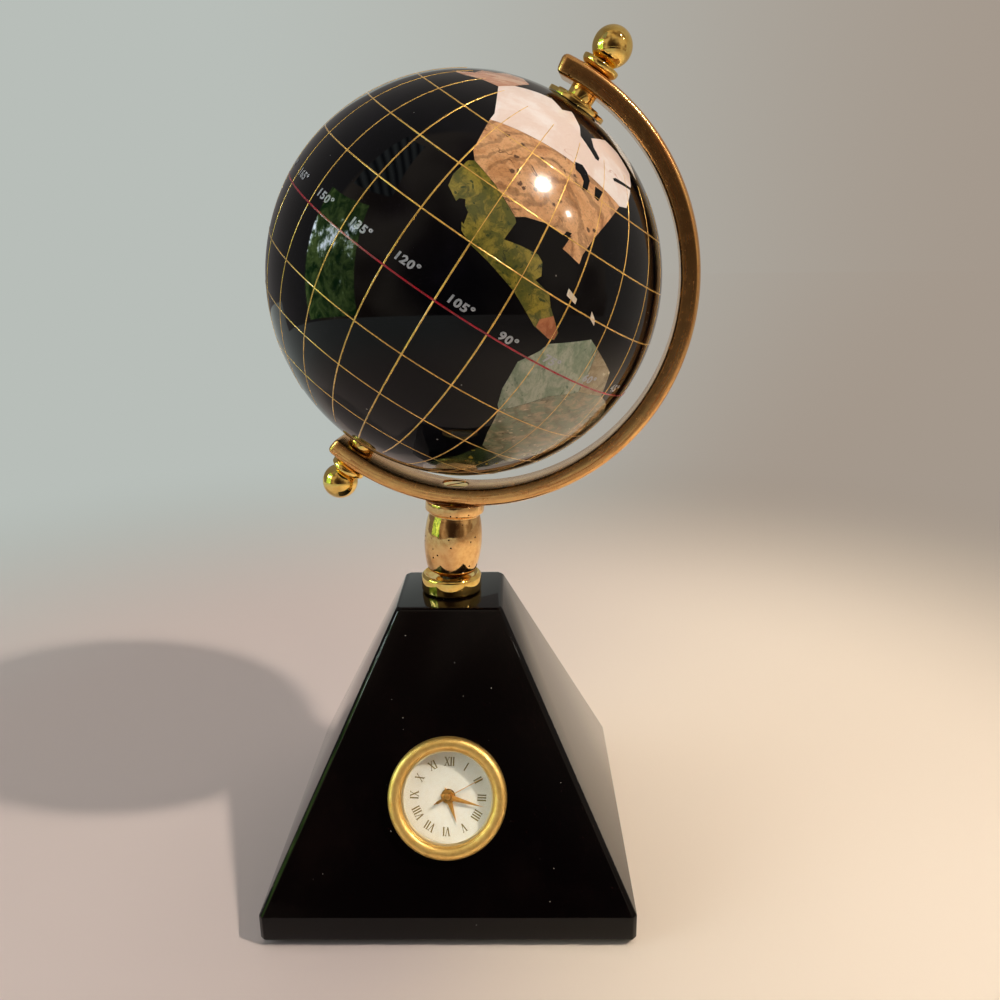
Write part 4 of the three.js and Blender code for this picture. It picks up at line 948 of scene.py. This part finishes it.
# The far side of the globe isn't seen, so its stones are the usual ones for such a globe: golden and red
# jasper for Africa, blue-green and grey stones for Europe and the north, and warm ones for the south east.
land("land_north_africa", [
    (10, 5), (35, 5), (43, 11.5), (37, 20), (32.5, 30.5), (20, 31.5), (10, 36.5), (-6, 35),
    (-16, 24), (-16.5, 13.5), (-8, 5)],
    "golden_jasper", (202, 164, 98), (226, 196, 138), (136, 94, 48), 7, 0.5, 9, 0.016, turn=(0, 0, 25),
    stretch=(1, 1, 2.4))
land("land_southern_africa", [
    (35, 5), (10, 5), (9.5, -1), (13.5, -10), (12.5, -18), (18.5, -34), (27, -33.5),
    (35, -24), (40.5, -14), (40, -3), (50, 10.5), (43, 11.5)],
    "red_jasper", (126, 58, 42), (158, 84, 58), (70, 30, 24), 6, 0.45, 7, 0.02, (206, 178, 150), 1.8, 0.06)
land("land_europe", [
    (28, 41), (40, 47), (40, 61), (30, 61), (21, 55.5), (10, 57), (7.5, 54), (-4, 48.5), (-1.5, 44),
    (-9, 43), (-9, 37.5), (-1, 37), (4, 43), (12, 44), (17, 39.5), (24, 37.5)],
    "teal_amazonite", (98, 146, 136), (142, 182, 168), (62, 98, 92), 4, 0.5, 6, 0.014)
land("land_russia", [
    (40, 61), (40, 47), (49, 49), (62, 54), (88, 49.5), (120, 50), (132, 43), (141, 52), (156, 59),
    (157, 51.5), (163, 57), (178, 64), (178, 69), (140, 72.5), (113, 74), (68, 69), (28, 71),
    (5.5, 61), (11, 58.5), (23, 65.5), (30, 61)],
    "pale_jade", (174, 200, 182), (204, 218, 202), (120, 148, 128), 8, 0.5, 12, 0.01, turn=(0, 0, 60),
    stretch=(1, 2, 1))
land("land_east_asia", [
    (62, 54), (49, 49), (53, 40), (61, 36.5), (74, 35), (88, 28), (98, 25), (108, 21.5),
    (118, 24), (122, 31), (118.5, 38.5), (126.5, 36), (132, 43), (120, 50), (88, 49.5)],
    "brick_jasper", (156, 80, 58), (188, 118, 86), (92, 44, 34), 6, 0.5, 8, 0.018, (222, 190, 160), 2, 0.05)
land("land_south_asia", [
    (61, 36.5), (53, 40), (36, 36.5), (34.5, 28.5), (43.5, 13), (59, 22), (52, 25.5), (67, 24.5),
    (77.5, 8.5), (80.5, 15), (91, 22.5), (94.5, 16), (103, 2), (109, 12), (108, 21.5), (98, 25),
    (88, 28), (74, 35)],
    "moss_agate", (88, 114, 96), (62, 84, 66), (178, 176, 148), 4, 0.5, 6, 0.012)
land("land_australasia", [
    (114, -22), (122, -18), (130, -12), (136, -13), (140, -17.5), (142.5, -11.5), (146, -19),
    (153, -26), (150, -37), (141, -38), (131, -31.5), (124, -33), (115.5, -34)],
    "tiger_eye", (184, 110, 58), (214, 156, 88), (96, 54, 28), 4, 0.5, 5, 0.03, turn=(0, 40, 0),
    stretch=(1, 1, 4))


# Fine brass wires are let into the polished ball along its meridians and parallels. The meridians stop
# short of the poles. The equator is a red line, and white numbers count the degrees along it.
wire_proud, wire_radius = 0.03 * mm, 0.22 * mm
meridian_step, meridian_end = 15, 58
first_row, row_step, row_pairs = 16, 14.2, 3
equator_width, equator_sunk, equator_edge, equator_crown = 0.32 * mm, 0.2 * mm, 0.03 * mm, 0.05 * mm
number_height, number_widening, number_reach = 1.5 * mm, 1.18, globe_radius + 0.035 * mm
number_places = {105: (1.5 * mm, 1.1 * mm), 90: (1.7 * mm, 0.4 * mm)}
usual_shift, west_lift, usual_lift = 0.7 * mm, 2.0 * mm, 0.8 * mm

wire_brass = grained("wire_brass", (238, 188, 88), (198, 148, 66), 420.0, 5.0, (0.4, 0.7),
                     (0.35, 0.7, 0.26, 0.42), texture=0.6, Metallic=0.45, Coat_Weight=1.0, Coat_Roughness=0.04)
wires = bpy.data.node_groups.new("graticule_wires", "GeometryNodeTree")
wires.interface.new_socket("Geometry", in_out="INPUT", socket_type="NodeSocketGeometry")
wire_inputs = {}
for label, kind, value in (
        ("Ball Radius", "Float", globe_radius + wire_proud - wire_radius),
        ("Wire Radius", "Float", wire_radius),
        ("Meridian Step", "Float", math.radians(meridian_step)),
        ("Meridian End", "Float", math.radians(meridian_end)),
        ("First Row", "Float", math.radians(first_row)),
        ("Row Step", "Float", math.radians(row_step)),
        ("Rows", "Int", 2 * row_pairs),
        ("Finish", "Material", wire_brass)):
    made = wires.interface.new_socket(label, in_out="INPUT", socket_type="NodeSocket" + kind)
    wire_inputs[made.identifier] = value
wires.interface.new_socket("Geometry", in_out="OUTPUT", socket_type="NodeSocketGeometry")
given = wires.nodes.new("NodeGroupInput").outputs
ball, end, step = given["Ball Radius"], given["Meridian End"], given["Meridian Step"]


def grow(kind, values, **settings):
    return node(wires, "GeometryNode" + kind, values, **settings).outputs[0]


def xyz(**parts):
    named = {part.upper(): value for part, value in parts.items()}
    return node(wires, "ShaderNodeCombineXYZ", named).outputs[0]


place_index = grow("InputIndex", {})
arc = grow("CurveArc", {"Resolution": 90, "Radius": ball, "Start Angle": times(end, -1.0),
                        "Sweep Angle": times(end, 2.0)}, mode="RADIUS")
meridians = grow("InstanceOnPoints", {
    "Points": grow("Points", {"Count": maths("DIVIDE", 2 * math.pi, step)}),
    "Instance": grow("Transform", {"Geometry": arc, "Rotation": (math.pi / 2, 0, 0)}),
    "Rotation": xyz(z=times(place_index, step))})
pair = maths("FLOOR", maths("DIVIDE", place_index, 2.0))
side = less(1.0, times(maths("MODULO", place_index, 2.0), 2.0))
row = times(side, plus(given["First Row"], times(pair, given["Row Step"])))
row_size = times(ball, maths("COSINE", row))
parallels = grow("InstanceOnPoints", {
    "Points": grow("Points", {"Count": given["Rows"], "Position": xyz(z=times(ball, maths("SINE", row)))}),
    "Instance": grow("CurvePrimitiveCircle", {"Resolution": 180, "Radius": 1.0}),
    "Scale": xyz(x=row_size, y=row_size, z=1.0)})
both = wires.nodes.new("GeometryNodeJoinGeometry")
for paths in (meridians, parallels):
    wires.links.new(paths, both.inputs[0])
drawn = grow("CurveToMesh", {
    "Curve": grow("RealizeInstances", {"Geometry": both.outputs[0]}), "Fill Caps": True,
    "Profile Curve": grow("CurvePrimitiveCircle", {"Resolution": 8, "Radius": given["Wire Radius"]})})
finished = grow("SetMaterial", {
    "Geometry": grow("RealizeInstances", {"Geometry": drawn}), "Material": given["Finish"]})
wires.links.new(finished, wires.nodes.new("NodeGroupOutput").inputs[0])

graticule = linked("graticule_wires", bpy.data.meshes.new("graticule_wires"))
maker = graticule.modifiers.new("maker", "NODES")
maker.node_group = wires
for identifier, value in wire_inputs.items():
    maker[identifier] = value
meshed(graticule)
graticule.data.materials.clear()
graticule.data.materials.append(wire_brass)
graticule.data.transform(spin_frame)
graticule.data.shade_smooth()
fitted(graticule, "globe")

red_line = grained("red_lacquer", (164, 18, 40), (112, 10, 26), 900.0, 4.0, (0.4, 0.75),
                   (0.3, 0.7, 0.15, 0.35), Coat_Weight=0.5)
equator = lathe("equator_line", [(globe_radius + out, side * equator_width / 2) for out, side in (
    (-equator_sunk, -1), (equator_edge, -1), (equator_crown, 0), (equator_edge, 1), (-equator_sunk, 1))],
    spin_frame, red_line, 240)
fitted(equator, "globe")

# The numbers stand north of the line. They were set one by one, and some of them lie closer to it.
number_ink = grained("number_ink", (158, 160, 165), (108, 110, 118), 2600.0, 3.0, (0.5, 0.8),
                     (0.3, 0.7, 0.2, 0.4), depth=0, Coat_Weight=0.4)
all_numbers = bmesh.new()
for degrees_east in range(-165, 181, meridian_step):
    words = bpy.data.curves.new("number", "FONT")
    words.body = str(abs(degrees_east)) + "°"
    words.size, words.shear, words.offset = number_height * 1.38, 0.1, 0.08 * mm
    words.space_character, words.resolution_u = 1.12, 3
    holder = linked("number", words)
    flat = plain_mesh(holder)
    bpy.data.objects.remove(holder)
    lift = west_lift if abs(degrees_east) > 110 else usual_lift
    number_shift, number_lift = number_places.get(-degrees_east, (usual_shift, lift))
    for vertex in flat.vertices:
        east = degrees_east + math.degrees((vertex.co.x * number_widening + number_shift) / globe_radius)
        north = math.degrees((vertex.co.y + number_lift) / globe_radius)
        vertex.co = spin_frame @ (direction(east, north) * number_reach)
    all_numbers.from_mesh(flat)
numbers_mesh = bpy.data.meshes.new("degree_numbers")
all_numbers.to_mesh(numbers_mesh)
all_numbers.free()
numbers_mesh.materials.append(number_ink)
fitted(linked("degree_numbers", numbers_mesh), "globe")


# The clock is a round insert that is pressed into the base. Its bezel is spun brass with a satin gold
# plating, crowned, with a thin stepped lip inside that holds the domed lens.
bezel_radius, bezel_lip, bezel_height = 12.35 * mm, 9.5 * mm, 2.5 * mm
lip_height, lip_land, rim_height, crest_share = 1.9 * mm, 0.35 * mm, 1.1 * mm, 0.55
lens_radius, lens_low, lens_thickness, lens_dome, dome_radius = 9.9 * mm, 0.4 * mm, 0.8 * mm, 0.4 * mm, 9.1 * mm

satin_gold = gold("satin_gold", (255, 216, 132), (240, 190, 104), 5 * mm, 0.004, 0.44, 0.55, 0.015 * mm)
lens_rim, groove_radius = lens_low + lens_thickness, lens_radius + seat_gap
lip_under = lens_rim + seat_gap
crest = bezel_lip + (bezel_radius - bezel_lip) * crest_share
swell = []
for angle in evenly(-math.pi / 2, math.pi / 2, 28):
    reach, low = (bezel_radius - crest, rim_height) if angle < 0 else (crest - bezel_lip - lip_land, lip_height)
    swell.append((crest - reach * math.sin(angle), low + (bezel_height - low) * math.cos(angle)))
bezel = turned_ring("bezel_spun", [
    (groove_radius, seat_gap), (bezel_radius - 0.15 * mm, seat_gap), (bezel_radius, seat_gap + 0.2 * mm),
    *swell, (bezel_lip + 0.3 * mm, lip_height - 0.1 * mm), (bezel_lip, lip_height - 0.12 * mm),
    (bezel_lip, lip_under), (groove_radius, lip_under)], 0.08 * mm, clock_frame, satin_gold, 128)
fitted(bezel, "clock_insert", "bezel")

lens_glass, shader, where = finish("lens_glass", Transmission_Weight=1.0, IOR=1.49)
smears = noise(where, 260.0, 4.0)
dress(shader, mixed(spread(smears, 0.5, 0.9), (253, 254, 253), (246, 249, 247)),
      spread(smears, 0.45, 0.8, 0.0, 0.04))
clear = node(where, "ShaderNodeBsdfTransparent", {"Color": (252, 253, 252)})
shadow = node(where, "ShaderNodeLightPath").outputs["Is Shadow Ray"]
surface(node(where, "ShaderNodeMixShader", {0: shadow, 1: shader.outputs[0], 2: clear.outputs[0]}).outputs[0])
dome = [(dome_radius * math.cos(angle), lens_rim + lens_dome * math.sin(angle))
        for angle in evenly(0, math.pi / 2, 12)[:-1]]
lens = lathe("lens_domed", [(0, lens_low), (lens_radius, lens_low), (lens_radius, lens_rim)] + dome
             + [(0, lens_rim + lens_dome)], clock_frame, lens_glass)
fitted(lens, "clock_insert", "lens")

# Under the lens a thin gold ring frames a cream enamel dial. The numerals are printed in dark gold, each
# with its foot to the middle.
dial_radius, dial_ring_inner, ring_slope = 9.9 * mm, 9.0 * mm, 0.25 * mm
dial_top, dial_thickness, dial_hole = -1.4 * mm, 0.4 * mm, 1.5 * mm
ring_low, ring_high = dial_top + seat_gap, lens_low - seat_gap
pale_gold = gold("pale_gold", (255, 240, 204), (244, 222, 176), 5 * mm, 0.0, 0.3, 0.42, 0.01 * mm)
dial_ring = turned_ring("dial_ring_turned", [
    (dial_ring_inner, ring_low), (dial_radius, ring_low), (dial_radius, ring_high),
    (dial_ring_inner + ring_slope, ring_high), (dial_ring_inner, ring_high - 0.3 * mm)],
    0.06 * mm, clock_frame, pale_gold, 128)
fitted(dial_ring, "clock_insert", "dial_ring")

enamel = grained("cream_enamel", (255, 252, 244), (252, 247, 236), 1500.0, 5.0, (0.35, 0.7),
                 (0.3, 0.7, 0.42, 0.58), 0.006 * mm)
dial_low = dial_top - dial_thickness
dial = turned_ring("dial_enamelled", [
    (dial_hole, dial_low), (dial_radius, dial_low), (dial_radius, dial_top), (dial_hole, dial_top)],
    0.05 * mm, clock_frame, enamel, 128)
fitted(dial, "clock_insert", "dial")

numeral_height, numeral_radius, numeral_raise, stroke_step = 1.72 * mm, 6.98 * mm, 0.03 * mm, 0.002 * mm
thick, thin, serif = 0.15, 0.055, 0.1
numeral_ink = moulded("numeral_ink", (146, 126, 62), (112, 94, 42), 0.42, 2600.0, 0.004 * mm)


def bar(start, end, width):
    """A straight stroke, cut level at its ends."""
    return [(start[0] - width / 2, start[1]), (start[0] + width / 2, start[1]),
            (end[0] + width / 2, end[1]), (end[0] - width / 2, end[1])]


def foot(x, y, reach):
    return bar((x, y - thin / 2), (x, y + thin / 2), 2 * reach)


letters = {
    "I": (0.3, [bar((0.15, 0), (0.15, 1), thick), foot(0.15, 0.02, serif), foot(0.15, 0.98, serif)]),
    "V": (0.66, [bar((0.34, 0), (0.12, 1), thick), bar((0.34, 0), (0.56, 1), thin * 1.3),
                 foot(0.12, 0.98, serif * 1.3), foot(0.56, 0.98, serif)]),
    "X": (0.66, [bar((0.58, 0), (0.1, 1), thick), bar((0.08, 0), (0.56, 1), thin * 1.3),
                 foot(0.1, 0.98, serif * 1.2), foot(0.56, 0.98, serif),
                 foot(0.08, 0.02, serif), foot(0.58, 0.02, serif * 1.2)])}
box = [(3, 2, 1, 0), (4, 5, 6, 7)] + quads(2, 4)
points, faces = [], []
for hour, word in enumerate(["XII", "I", "II", "III", "IIII", "V", "VI", "VII", "VIII", "IX", "X", "XI"]):
    across = -sum(letters[letter][0] for letter in word) / 2
    for letter in word:
        width, strokes = letters[letter]
        for level, stroke in enumerate(strokes):
            faces += [tuple(len(points) + corner for corner in face) for face in box]
            points += [clock_frame @ spin(-30 * hour) @ Vector((
                (across + x) * numeral_height, numeral_radius + (y - 0.5) * numeral_height, lift))
                for lift in (dial_top, dial_top + numeral_raise + level * stroke_step) for x, y in stroke]
        across += width
fitted(to_mesh("dial_numerals", points, faces, numeral_ink, 30), "clock_insert")

# The hands are stamped brass, gold plated. The hour and minute hands are long diamonds with a ridge
# along the middle, and the second hand is a fine bar with a weight at its tail.
hand_thickness, hand_gap, boss_proud = 0.2 * mm, 0.25 * mm, 0.06 * mm
second_turn = 10 * 6
minute_turn = 17 * 6 + second_turn / 60
hour_turn = 5 * 30 + minute_turn / 12
hour_level, minute_level, second_level = (
    dial_top + hand_gap + order * (hand_thickness + hand_gap) for order in range(3))
hand_gold = gold("hand_gold", (248, 194, 108), (220, 156, 76), 3 * mm, 0.0, 0.34, 0.46, 0.006 * mm)


def joined_pieces(kept, other):
    shape = bmesh.new()
    for piece in (kept, other):
        shape.from_mesh(piece.data)
    shape.to_mesh(kept.data)
    shape.free()
    bpy.data.objects.remove(other)
    return kept


def leaf_hand(name, length, tail, width, hub, level, turn):
    """A diamond blade whose two halves slope from a ridge, with a round boss at the pivot."""
    where = clock_frame @ spin(-turn)
    edge, ridge = level + hand_thickness * 0.45, level + hand_thickness
    near_ridge = edge * 0.2 + ridge * 0.8
    points = [(0, -tail, edge), (width / 2, 0, edge), (0, length, edge), (-width / 2, 0, edge),
              (0, -tail, level), (width / 2, 0, level), (0, length, level), (-width / 2, 0, level),
              (0, 0, ridge), (0, length * 0.96, near_ridge), (0, -tail * 0.9, near_ridge)]
    faces = [(1, 2, 9, 8), (2, 3, 8, 9), (0, 1, 8, 10), (3, 0, 10, 8), (7, 6, 5, 4),
             (0, 4, 5, 1), (1, 5, 6, 2), (2, 6, 7, 3), (3, 7, 4, 0)]
    blade = to_mesh(name, [where @ Vector(point) for point in points], faces, hand_gold, 5)
    return joined_pieces(blade, disc(name + "_boss", hub, level, ridge + boss_proud, clock_frame, hand_gold, 32,
                                     0.06 * mm))


hour_hand = leaf_hand("hour_hand_ridged", 5.5 * mm, 2 * mm, 1.4 * mm, 1.33 * mm, hour_level, hour_turn)
minute_hand = leaf_hand("minute_hand_ridged", 7.7 * mm, 1.7 * mm, 1.3 * mm, 0.7 * mm, minute_level, minute_turn)
half, heavy, weight_ease, second_hub, second_boss = 0.1 * mm, 0.275 * mm, 0.2 * mm, 0.5 * mm, 0.26 * mm
tail_end, weight_low, weight_top, tip = -3.2 * mm, -2.72 * mm, -1.12 * mm, 8.2 * mm
right = [(half, tail_end), (half, weight_low), (heavy, weight_low + weight_ease),
         (heavy, weight_top - weight_ease), (half, weight_top), (half * 0.5, tip)]
outline = right + [(-x, y) for x, y in reversed(right)]
bar_ends = [[clock_frame @ spin(-second_turn) @ Vector((x, y, level)) for x, y in outline]
            for level in (second_level, second_level + hand_thickness * 0.7)]
second_hand = joined_pieces(
    stacked("second_hand_fine", bar_ends, hand_gold, 20),
    disc("second_boss", second_hub, second_level, second_level + second_boss, clock_frame, hand_gold, 32,
         0.08 * mm))
for piece, name in ((hour_hand, "hour_hand"), (minute_hand, "minute_hand"), (second_hand, "second_hand")):
    fitted(piece, name + "_set", name)

# Behind the dial a drawn case holds the quartz movement, and a ribbed rubber ring round it grips the
# bore. Neither shows until the insert is pulled out.
case_radius, case_wall, case_back = 10.7 * mm, 0.5 * mm, -9.2 * mm
knob_place, knob_shaft_hole = Vector((0, 7.1 * mm, 0)), 0.7 * mm
grip_inner, grip_radius, grip_low, grip_high = 11.0 * mm, 11.4 * mm, -5.4 * mm, -3.0 * mm
ribs, rib_depth, grip_chamfer = 72, 0.15 * mm, 0.2 * mm

case_finish = moulded("case_plastic", (188, 182, 166), (172, 165, 148), 0.38)
case = lathe("clock_case_cup", rounded([
    (0, case_back), (case_radius, case_back), (case_radius, 0), (case_radius - case_wall, 0),
    (case_radius - case_wall, case_back + case_wall), (0, case_back + case_wall)], 0.2 * mm),
    clock_frame, case_finish, 128)
drilled(case, 35, disc("knob_hole", knob_shaft_hole, case_back - overrun, case_back + overrun,
                       clock_frame @ Matrix.Translation(knob_place), case_finish, 32))
fitted(case, "clock_insert", "clock_case")

points = []
for step in range(ribs * 2):
    reach = grip_radius - step % 2 * rib_depth
    points += [clock_frame @ polar(radius, math.pi * step / ribs, height) for radius, height in (
        (grip_inner, grip_low), (reach, grip_low + grip_chamfer), (reach, grip_high - grip_chamfer),
        (grip_inner, grip_high))]
faces = [face[:1] + face[:0:-1] for face in quads(ribs * 2, 4, looped=True)]
grip = to_mesh("grip_ring_ribbed", points, faces,
               moulded("grip_rubber", (30, 30, 31), (44, 43, 43), 0.7, 900.0, 0.02 * mm), 25)
fitted(grip, "clock_insert", "grip_ring")

keep(turned_metal("clock_brass", (206, 168, 92), (168, 128, 62)),
     "main_plate", "cannon_wheel", "hour_wheel", "seconds_wheel", "third_wheel", "motion_wheel")
keep(steel, "stator", "battery", "rotor")
keep(turned_metal("coil_copper", (196, 112, 62), (150, 78, 40), 0.32, 2400.0), "drive_coil")
keep(moulded("board_green", (38, 92, 58), (30, 74, 46), 0.45), "circuit_board")
keep(moulded("knob_plastic", (40, 40, 38), (56, 55, 52), 0.45), "setting_knob")
